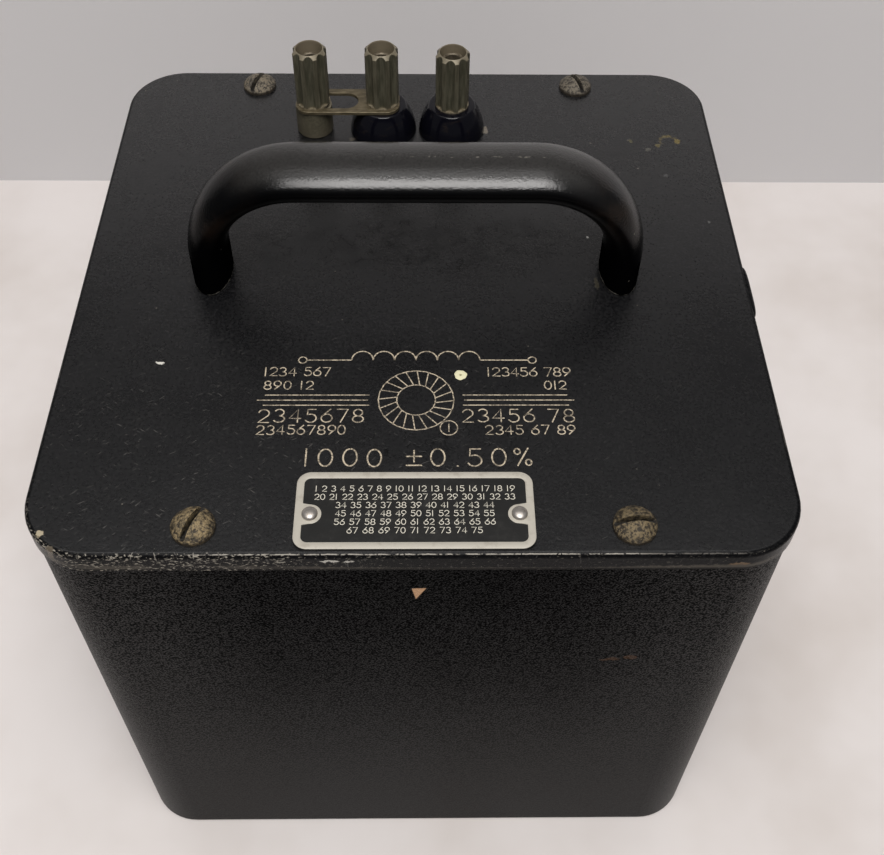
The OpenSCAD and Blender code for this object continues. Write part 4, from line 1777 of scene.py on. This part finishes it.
@dataclass
class Legend:
    """Engraving of the lid: a coil sign, plain figures, rules and a wound ring."""

    proud: float = 0.035
    fine: float = 0.25
    coil: float = 0.3
    coil_y: float = -29.7
    coil_turn: Point = (2.5, 2.7)
    coil_turns: int = 6
    coil_half: float = 15.0
    lead_ends: Point = (-25.4, 26.2)
    end_r: float = 0.95
    end_gap: float = 1.0
    ring: Point = (0.1, -41.6)
    ring_r: float = 8.6
    hole_r: float = 4.4
    ring_turns: int = 20
    ring_lean: float = 0.16
    small: Point = (7.45, -49.6)
    dot: Point = (10.35, -34.26)
    dot_r: float = 1.45
    dot_profile: tuple[Point, ...] = (
        (0.0, 0.0),
        (0.12, 0.03),
        (0.25, 0.16),
        (0.4, 0.2),
        (0.6, 0.19),
        (0.8, 0.15),
        (0.93, 0.09),
        (1.0, 0.02),
        (1.0, -0.05),
        (0.0, -0.05),
    )
    dot_around: int = 64
    rows: tuple[Row, ...] = (
        Row("1234 567", -35.1, -19.8, -34.48, 2.5, 0.27, 0.03),
        Row("890 12", -34.8, -23.5, -38.5, 2.4, 0.27, 0.04),
        Row("123456 789", 16.4, 35.8, -34.6, 2.55, 0.27, 0.03),
        Row("012", 29.6, 34.6, -38.5, 2.4, 0.27, 0.04),
        Row("2345678", -35.3, -11.7, -48.0, 3.65, 0.3, 0.02),
        Row("23456 78", 10.5, 35.7, -47.95, 3.6, 0.3, 0.02),
        Row("234567890", -35.3, -15.6, -51.4, 2.5, 0.27, 0.04),
        Row("2345 67 89", 15.6, 35.6, -51.4, 2.5, 0.27, 0.04),
        Row("1000 +0.50%", -24.5, 25.1, -60.0, 4.6, 0.35, 0.1),
    )
    rules: tuple[Place, ...] = (
        (-34.2, -10.6, -40.2),
        (-35.9, -10.9, -41.68),
        (-34.4, -10.6, -43.14),
        (10.8, 34.5, -40.2),
        (11.1, 36.0, -41.68),
        (10.8, 34.7, -43.14),
    )
    rule_points: int = 12

    def coil_sign(self) -> list[Array]:
        """Draws the coil sign: two leads with end rings and a row of humps between.

        Returns:
            The paths.
        """
        y = self.coil_y
        half = self.coil_half
        wide, high = self.coil_turn
        first, last = self.lead_ends
        middles = [(2 * turn + 1) * wide - half for turn in range(self.coil_turns)]
        humps = path(*[arc(middle, y, wide, high, 180, 0) for middle in middles])
        leads = [path((first, y), (-half, y)), path((half, y), (last, y))]
        left_end = arc(first - self.end_gap, y, self.end_r, self.end_r, 0, 360)
        right_end = arc(last + self.end_gap, y, self.end_r, self.end_r, -180, 180)
        return [humps] + leads + [left_end, right_end]

    def ring_sign(self) -> list[Array]:
        """Draws the wound ring, two circles with turns between, and a small sign beside it.

        Returns:
            The paths.
        """
        middle = np.array(self.ring)
        angle = np.linspace(0.0, 2 * np.pi, self.ring_turns, endpoint=False) + 0.13
        inner = middle + self.hole_r * np.stack([np.cos(angle), np.sin(angle)], axis=1)
        angle = angle + self.ring_lean
        outer = middle + self.ring_r * np.stack([np.cos(angle), np.sin(angle)], axis=1)
        turns = list(np.stack([inner, outer], axis=1))
        circles = [arc(*self.ring, radius, radius, 0, 360) for radius in (self.ring_r, self.hole_r)]
        x, y = self.small
        return circles + [arc(x, y, 1.95, 2.0, 0, 360), path((x, y - 1.0), (x, y + 1.0))] + turns

    def rule_lines(self) -> list[Array]:
        """Draws the straight rules.

        Returns:
            The paths.
        """
        count = self.rule_points
        lines = []
        for left, right, y in self.rules:
            lines.append(np.stack([np.linspace(left, right, count), np.full(count, y)], axis=1))
        return lines

    def build(self, filling: Material, paint: Material) -> None:
        """Builds the engraving and the dot of paint.

        Args:
            filling: Material of the engraved lines.
            paint: Material of the dot.
        """
        patches = [lines for row in self.rows for lines in row.strokes(LID_TOP, self.proud)]
        patches += [stroke(line, self.coil, LID_TOP, self.proud) for line in self.coil_sign()]
        fine = self.ring_sign() + self.rule_lines()
        patches += [stroke(line, self.fine, LID_TOP, self.proud) for line in fine]
        make_piece("lid_engraving", joined(patches), filling, Body.CASE)
        make_piece("paint_dot", self.paint_dot(), paint, Body.CASE)

    def paint_dot(self) -> Patch:
        """Drop of paint: a low dome with an uneven outline and a dent in the middle.

        A profile of radius shares and heights, with a dent at the middle, is carried
        round; its radius swells and shrinks with two sine waves of the angle.

        Returns:
            The drop, with its dent marked as its core.
        """
        profile = np.array(self.dot_profile)
        share = profile[:, :1]
        level = profile[:, 1:]
        angle = np.linspace(0, 2 * np.pi, self.dot_around, endpoint=False)[None, :]
        reach = self.dot_r * (1 + 0.05 * np.sin(3 * angle + 1) + 0.03 * np.sin(7 * angle)) * share
        x = self.dot[0] + reach * np.cos(angle)
        y = self.dot[1] + reach * np.sin(angle)
        z = LID_TOP + level + 0 * angle
        upper = np.arange(len(share))[:, None] < 5
        core = np.clip((0.26 - share) / 0.14, 0.0, 1.0) * upper + 0 * angle
        points = np.stack([x, y, z], axis=-1).reshape(-1, 3)
        return Patch(points, grid_quads(*core.shape, wrap_cols=True), {"core": core.ravel()})


@dataclass
class Nameplate:
    """Black plate with a bright border, two tabs round its pins and rows of figures."""

    y: float = -71.75
    face: float = 156.8
    width: float = 50.4
    depth: float = 19.2
    inset: float = 0.04
    corner: float = 3.0
    border: float = 1.6
    section: tuple[Point, ...] = (
        (0.0, -0.05),
        (0.0, 0.05),
        (0.06, 0.11),
        (0.94, 0.11),
        (1.0, 0.05),
        (1.0, -0.05),
    )
    tab_r: float = 2.4
    neck: Point = (0.32, 0.4)
    side_points: int = 161
    corner_points: int = 12
    pin_x: float = 22.0
    pin_ahead: float = 1.1
    pin_r: float = 1.0
    pin_head_r: float = 1.7
    pin_head_h: float = 1.1
    pin_side_h: float = 0.25
    pin_foot: float = 153.0
    pin_around: int = 48
    row_halves: tuple[float, ...] = (21.2, 21.2, 16.65, 16.65, 16.8, 14.05)
    row_top: float = -67.1
    row_step: float = 2.08
    figure_h: float = 1.38
    figure_line: float = 0.155
    figure_step: float = 0.92
    figure_proud: float = 0.03

    def tab(self, along: Array) -> Array:
        """Reach of the border inwards past its plain width.

        Within the tab's radius it follows the circle round the pin; beyond it falls
        smoothly to nothing.

        Args:
            along: Distances from the pin, along the side.

        Returns:
            The reach at each.
        """
        back = self.width / 2 - self.pin_x - self.border
        away = np.abs(along)
        round_part = back + np.sqrt(np.maximum(self.tab_r**2 - away**2, 0.0))
        past, length = self.neck
        fall = np.clip((self.tab_r + past - away) / length, 0.0, 1.0)
        return round_part * fall * fall * (3 - 2 * fall)

    def outlines(self) -> tuple[Array, Array]:
        """Outer and inner outlines of the border, point for point.

        Returns:
            Two closed loops of the same count, about the middle of the plate.
        """
        half = np.array([self.width / 2, self.depth / 2]) - self.inset
        straight = half - self.corner
        side = np.linspace(-straight[1], straight[1], self.side_points)
        right = np.stack([half[0] + 0 * side, side], axis=1)
        right_in = np.stack([half[0] - self.border - self.tab(side + self.pin_ahead), side], axis=1)
        turn = np.radians(np.linspace(0, 90, self.corner_points))
        out = np.stack([np.cos(turn), np.sin(turn)], axis=1)
        flip = (-1.0, 1.0)

        def round_trip(side_line: Array, corner: Array) -> Array:
            """Strings sides and corners together, right round the plate."""
            mirrored = corner[::-1] * flip
            return np.concatenate([side_line, corner, mirrored, side_line[::-1] * flip, -corner, -mirrored])

        inner_corner = straight + (self.corner - self.border) * out
        return round_trip(right, straight + self.corner * out), round_trip(right_in, inner_corner)

    def border_frame(self) -> Patch:
        """Carries a low section between the two outlines, right round the plate.

        A point is outer (1 - s) + inner s, with s the section's share across the border.

        Returns:
            The closed frame.
        """
        outer, inner = self.outlines()
        share, level = np.array(self.section).T
        share = share[None, :, None]
        flat = outer[:, None] * (1 - share) + inner[:, None] * share
        flat[..., 1] += self.y
        rise = np.broadcast_to(self.face + level, flat.shape[:2])
        points = np.concatenate([flat, rise[..., None]], axis=-1).reshape(-1, 3)
        return Patch(points, grid_quads(len(outer), len(level), wrap_rows=True, wrap_cols=True))

    def pins(self) -> Patch:
        """Turns the two drive pins: a shank and a dome.

        Returns:
            Both pins.
        """
        angle = np.radians(np.linspace(0, 90, self.corner_points))
        rise = self.face + self.pin_side_h + (self.pin_head_h - self.pin_side_h) * np.sin(angle)
        dome = np.stack([self.pin_head_r * np.cos(angle), rise], axis=1)
        seat = self.face + 0.02
        shank = path((0.0, self.pin_foot), (self.pin_r, self.pin_foot), (self.pin_r, seat))
        rim = path((self.pin_head_r - 0.08, seat), (self.pin_head_r, self.face + 0.12))
        profile = path(shank, rim, dome)
        y = self.y - self.pin_ahead
        return joined([turned(profile, side * self.pin_x, y, self.pin_around) for side in (-1, 1)])

    def figures(self) -> Patch:
        """Lays out running numbers in rows about the middle of the plate.

        Returns:
            The strokes of all rows.
        """
        count = 1
        patches = []
        for number, half in enumerate(self.row_halves):
            words = str(count)
            while sum(advances(words)) < 2 * half / (self.figure_step * self.figure_h):
                count += 1
                words += " " + str(count)
            count += 1
            foot = self.row_top - number * self.row_step
            row = Row(words, -half, half, foot, self.figure_h, self.figure_line)
            patches += row.strokes(self.face, self.figure_proud)
        return joined(patches)

    def build(self, border: Material, pin: Material, figures: Material) -> None:
        """Builds the border, the pins and the figures.

        Args:
            border: Material of the border.
            pin: Material of the pins.
            figures: Material of the figures.
        """
        make_piece("nameplate_border", self.border_frame(), border, Body.CASE)
        pins = make_piece("nameplate_pins_round", self.pins(), pin, Body.CASE)
        stands_for("nameplate_pins")
        make_piece("nameplate_figures", self.figures(), figures, Body.CASE)


@dataclass
class EdgeBead:
    """Bead of thick enamel that stands out at the right edge of the lid."""

    centre: Place = (82.3, -6.1, 154.3)
    reach: Place = (1.15, 8.4, 1.5)
    power: float = 0.55
    rows: int = 25
    around: int = 48

    def build(self, finish: Material) -> None:
        """Builds the bead.

        An oval whose ends are blunt: a point is the middle plus its reach times
        (c cos u, s, c sin u), with c and s signed powers of the tilt's cosine and sine.

        Args:
            finish: Material of the bead.
        """
        tilt = np.radians(np.linspace(-90, 90, self.rows))[:, None]
        turn = np.linspace(0, 2 * np.pi, self.around, endpoint=False)[None, :]

        def blunt(wave: Array) -> Array:
            """Raises a wave to the power, with its sign kept."""
            return np.sign(wave) * np.abs(wave) ** self.power

        round_part = blunt(np.cos(tilt))
        along = blunt(np.sin(tilt)) + 0 * turn
        shape = np.stack([round_part * np.cos(turn), along, round_part * np.sin(turn)], axis=-1)
        points = np.array(self.centre) + np.array(self.reach) * shape
        patch = Patch(points.reshape(-1, 3), grid_quads(self.rows, self.around, wrap_cols=True))
        make_piece("edge_bead", patch, finish, Body.CASE)


# Solids that keep their shape


@dataclass
class Dressing:
    """Finishes of the solids that stay as they are."""

    finishes: Finishes

    NODES = {
        "case": ("case",),
        "lid": ("top_panel",),
        "plate": ("nameplate",),
        "washer": ("ground_clamp_washer", "low_clamp_washer", "high_clamp_washer"),
        "steel": ("handle_screws", "lock_washers", "post_hex_nuts"),
        "cone": ("low_lower_insulator", "high_lower_insulator"),
        "lug": ("solder_lugs",),
        "lead": ("low_lead", "high_lead"),
        "winding": ("toroid_winding",),
        "ceramic": ("toroid_core",),
        "cork": ("cork_bed_lower", "cork_bed_upper"),
        "fibre": ("inner_can", "can_cover"),
        "compound": ("potting_compound",),
    }

    def build(self) -> None:
        """Gives each solid its finish."""
        for finish, nodes in self.NODES.items():
            for node in nodes:
                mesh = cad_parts[node].data
                mesh.materials.clear()
                mesh.materials.append(self.finishes[finish])
                LOG.info("%s takes %s", node, finish)


def make_finishes() -> Finishes:
    """Builds every finish once.

    Returns:
        The materials by their short names.
    """
    even = (1.0, 1.0, 1.0)
    recipes = {
        "case": CrackleEnamel(),
        "lid": LidEnamel(),
        "handle": HandleEnamel(),
        "screw": SpottedPlating(),
        "nut": Tarnish("nut_tarnished", tone(0.062, 0.059, 0.038), tone(0.115, 0.108, 0.074), metal=0.3),
        "base": Tarnish(
            "base_tarnished", tone(0.066, 0.061, 0.04), tone(0.102, 0.094, 0.064), even, metal=0.3
        ),
        "stud": Tarnish("stud_brass", tone(0.1, 0.083, 0.058), tone(0.19, 0.16, 0.115), even),
        "link": Tarnish(
            "link_brass", tone(0.09, 0.073, 0.042), tone(0.165, 0.135, 0.083), (0.3, 1.0, 1.0), False
        ),
        "washer": Tarnish("washer_brass", tone(0.18, 0.15, 0.1), tone(0.32, 0.28, 0.2), even, False),
        "cone": Moulding(),
        "filling": Print(),
        "paint": Print("cream_paint", tone(0.66, 0.63, 0.42), tone(0.24, 0.22, 0.11), 0.22, True),
        "figures": Print("plate_figures", tone(0.62, 0.59, 0.5), tone(0.3, 0.28, 0.23), 0.3),
        "border": Metal(
            "nickel_border", tone(0.42, 0.395, 0.34), tone(0.34, 0.315, 0.265), (0.5, 0.62), 0.12
        ),
        "pin": Metal("bright_pin", tone(0.42, 0.39, 0.36), tone(0.22, 0.18, 0.14), (0.28, 0.42), 0.8),
        "plate": PlateEnamel(),
        "steel": Metal("plated_steel", tone(0.45, 0.45, 0.46), tone(0.26, 0.24, 0.21)),
        "lug": Metal("tinned_lug", tone(0.52, 0.5, 0.44), tone(0.3, 0.28, 0.23)),
        "lead": Metal(
            "copper_lead", tone(0.5, 0.2, 0.08), tone(0.2, 0.07, 0.03), (0.24, 0.4), 0.9, (8.0, 8.0, 1.0)
        ),
        "winding": WoundWire(),
        "ceramic": Grained("white_ceramic", tone(0.72, 0.68, 0.6), tone(0.58, 0.54, 0.46), 1.2, 0.05),
        "cork": Grained(
            "ground_cork", tone(0.34, 0.2, 0.1), tone(0.13, 0.07, 0.03), 2.2, 0.4, (0.75, 0.95)
        ),
        "fibre": Grained(
            "brown_fibre", tone(0.14, 0.08, 0.045), tone(0.075, 0.042, 0.022), 0.9, 0.05, (0.45, 0.65)
        ),
        "compound": Grained(
            "cast_compound", tone(0.05, 0.036, 0.026), tone(0.026, 0.018, 0.013), 5.0, 0.2, (0.3, 0.5)
        ),
    }
    return {name: recipe.build() for name, recipe in recipes.items()}


# Studio


def pose(place: Place, right: Array, up: Array, ahead: Array) -> Matrix:
    """Gives the matrix that puts a camera or lamp at a place, facing ahead.

    Args:
        place: Where it stands.
        right: Direction to its right.
        up: Direction up in its view.
        ahead: Direction that it faces.

    Returns:
        The matrix, in metres.
    """
    axes = np.eye(4)
    axes[:3, :3] = np.stack([right, up, -ahead], axis=1)
    axes[:3, 3] = np.array(place) * MM
    return Matrix(axes.tolist())


@dataclass
class Camera:
    """Camera of the photograph: turned by yaw, pitch and roll, in degrees."""

    place: Place = (2.25, -206.6, 362.2)
    pitch: float = 49.87
    yaw: float = 1.51
    roll: float = 1.15
    focal_px: float = 1161.5
    centre_px: Point = (445.29, 370.33)
    image_px: Point = (884.0, 855.0)
    sensor: float = 36.0
    clip_start: float = 0.01

    def build(self) -> None:
        """Adds the camera and makes it the scene's own."""

        def spin(degrees: float) -> Array:
            """Turns about the third axis."""
            a = np.radians(degrees)
            return np.array([[np.cos(a), -np.sin(a), 0], [np.sin(a), np.cos(a), 0], [0, 0, 1]])

        tilt = np.radians(self.pitch)
        level = np.array([[1, 0, 0], [0, -np.sin(tilt), -np.cos(tilt)], [0, np.cos(tilt), -np.sin(tilt)]])
        right, down, ahead = spin(self.roll) @ level @ spin(self.yaw)
        data = bpy.data.cameras.new("camera")
        width, height = self.image_px
        data.sensor_fit = "HORIZONTAL"
        data.sensor_width = self.sensor
        data.lens = self.focal_px / width * self.sensor
        data.shift_x = (width / 2 - self.centre_px[0]) / width
        data.shift_y = (self.centre_px[1] - height / 2) / width
        data.clip_start = self.clip_start
        camera = placed("camera", data)
        camera.matrix_world = pose(self.place, right, -down, ahead)
        bpy.context.scene.camera = camera


@dataclass(frozen=True)
class Lamp:
    """Soft area lamp: its place, aim, sizes and power."""

    name: str
    place: Place
    aim: Place
    width: float
    depth: float
    watts: float
    colour: Place = (1.0, 0.973, 0.953)

    def build(self) -> None:
        """Adds the lamp, facing its aim."""
        data = bpy.data.lights.new(self.name, "AREA")
        data.shape = "RECTANGLE"
        data.size = self.width * MM
        data.size_y = self.depth * MM
        data.energy = self.watts
        data.color = self.colour
        ahead = np.array(self.aim) - np.array(self.place)
        ahead = ahead / np.linalg.norm(ahead)
        is_steep = abs(ahead[2]) >= 0.95
        right = np.cross(ahead, [0.0, 1.0, 0.0] if is_steep else [0.0, 0.0, 1.0])
        right = right / np.linalg.norm(right)
        lamp = placed(self.name, data)
        lamp.matrix_world = pose(self.place, right, np.cross(right, ahead), ahead)


@dataclass
class Studio:
    """Pale table, a plain wall behind it, soft lamps and a dim room."""

    wall_y: float = 215.4
    wall_half: float = 450.0
    wall_h: float = 700.0
    wall_fade: Point = (245.0, 430.0)
    reach: float = 3000.0
    low: float = -0.1
    table: Colour = tone(0.755, 0.715, 0.7)
    stain: Colour = tone(0.64, 0.59, 0.56)
    wall: Colour = tone(0.67, 0.662, 0.67)
    wall_top: Colour = tone(0.085, 0.085, 0.087)
    room: Colour = tone(0.14, 0.14, 0.142)
    ceiling: Colour = tone(0.3, 0.298, 0.295)
    ceiling_rise: Point = (0.35, 0.85)
    lamps: tuple[Lamp, ...] = (
        Lamp("key_lamp", (20.0, -400.0, 1060.0), (0.0, 0.0, 160.0), 600.0, 560.0, 10.0),
        Lamp("top_lamp", (-100.0, 60.0, 1250.0), (0.0, 40.0, 100.0), 900.0, 500.0, 2.0),
    )

    def flat(self, name: str, corners: Sequence[Place], material: Material) -> None:
        """Adds a flat stage piece.

        Args:
            name: Name of the piece.
            corners: Its four corners.
            material: Finish of the piece.
        """
        mesh = bpy.data.meshes.new(name)
        mesh.from_pydata((np.array(corners) * MM).tolist(), [], [(0, 1, 2, 3)])
        mesh.materials.append(material)
        placed(name, mesh)

    def table_finish(self) -> Material:
        """Builds the pale table top, with faint clouds.

        Returns:
            The material.
        """
        sheet = Sheet("table_top")
        cloud = sheet.noise(sheet.place(), 90.0, detail=4.0, rough=0.6)
        colour = sheet.mix(cloud.step(0.35, 0.8), self.table, self.stain)
        return sheet.dress(colour=colour, rough=0.6, gloss=0.3)

    def wall_finish(self) -> Material:
        """Builds the wall, darker above the view as painted shade, and clear from behind.

        Returns:
            The material.
        """
        sheet = Sheet("plain_wall")
        _, _, z = sheet.axes(sheet.place())
        # The wall's upper part is painted dark as the shade of the dim room above.
        colour = sheet.mix(z.step(*self.wall_fade), self.wall, self.wall_top)
        sheet.dress(colour=colour, rough=0.9, gloss=0.1)
        clear = sheet.node("ShaderNodeBsdfTransparent").outputs[0]
        behind = sheet.node("ShaderNodeNewGeometry").outputs["Backfacing"]
        blend = sheet.node("ShaderNodeMixShader", {0: behind, 1: sheet.shader.outputs[0], 2: clear})
        sheet.feed(sheet.output.inputs["Surface"], blend.outputs[0])
        return sheet.material

    def sky(self) -> None:
        """Lights the room: dim at eye level, brighter overhead."""
        world = bpy.data.worlds.new("room")
        bpy.context.scene.world = world
        world.use_nodes = True
        nodes = Nodes(world.node_tree)
        way = nodes.node("ShaderNodeTexCoord").outputs["Generated"]
        rise = Field(nodes, nodes.node("ShaderNodeSeparateXYZ", {0: way}).outputs[2])
        colour = nodes.mix(rise.step(*self.ceiling_rise), self.room, self.ceiling)
        shade = nodes.node("ShaderNodeBackground", {"Color": colour})
        nodes.node("ShaderNodeOutputWorld", {"Surface": shade.outputs[0]})

    def build(self) -> None:
        """Builds the stage and the light."""
        far = self.reach
        low = self.low
        table = [(-far, -far, low), (far, -far, low), (far, far, low), (-far, far, low)]
        self.flat("table", table, self.table_finish())
        y = self.wall_y
        half = self.wall_half
        top = self.wall_h
        wall = [(-half, y, low), (half, y, low), (half, y, top), (-half, y, top)]
        self.flat("wall", wall, self.wall_finish())
        for lamp in self.lamps:
            lamp.build()
        self.sky()
        bpy.context.scene.view_settings.view_transform = "Standard"


def main() -> None:
    """Builds the object and its studio in order."""
    logging.basicConfig(level=logging.INFO, format="%(name)s: %(message)s")
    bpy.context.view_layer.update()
    Camera().build()
    finishes = make_finishes()
    Dressing(finishes).build()
    Handle().build(finishes["handle"])
    posts = (
        GroundPost("ground", -28.575, Body.GROUND_NUT, 165.8),
        InsulatedPost("low", -9.525, Body.LOW_NUT, 165.8),
        InsulatedPost("high", 9.525, Body.HIGH_NUT, 164.8, -9.0),
    )
    for post in posts:
        post.build(finishes)
    GroundLink().build(finishes["link"])
    LidScrews().build(finishes["screw"])
    Legend().build(finishes["filling"], finishes["paint"])
    Nameplate().build(finishes["border"], finishes["pin"], finishes["figures"])
    EdgeBead().build(finishes["lid"])
    Studio().build()


if __name__ == "__main__":
    main()
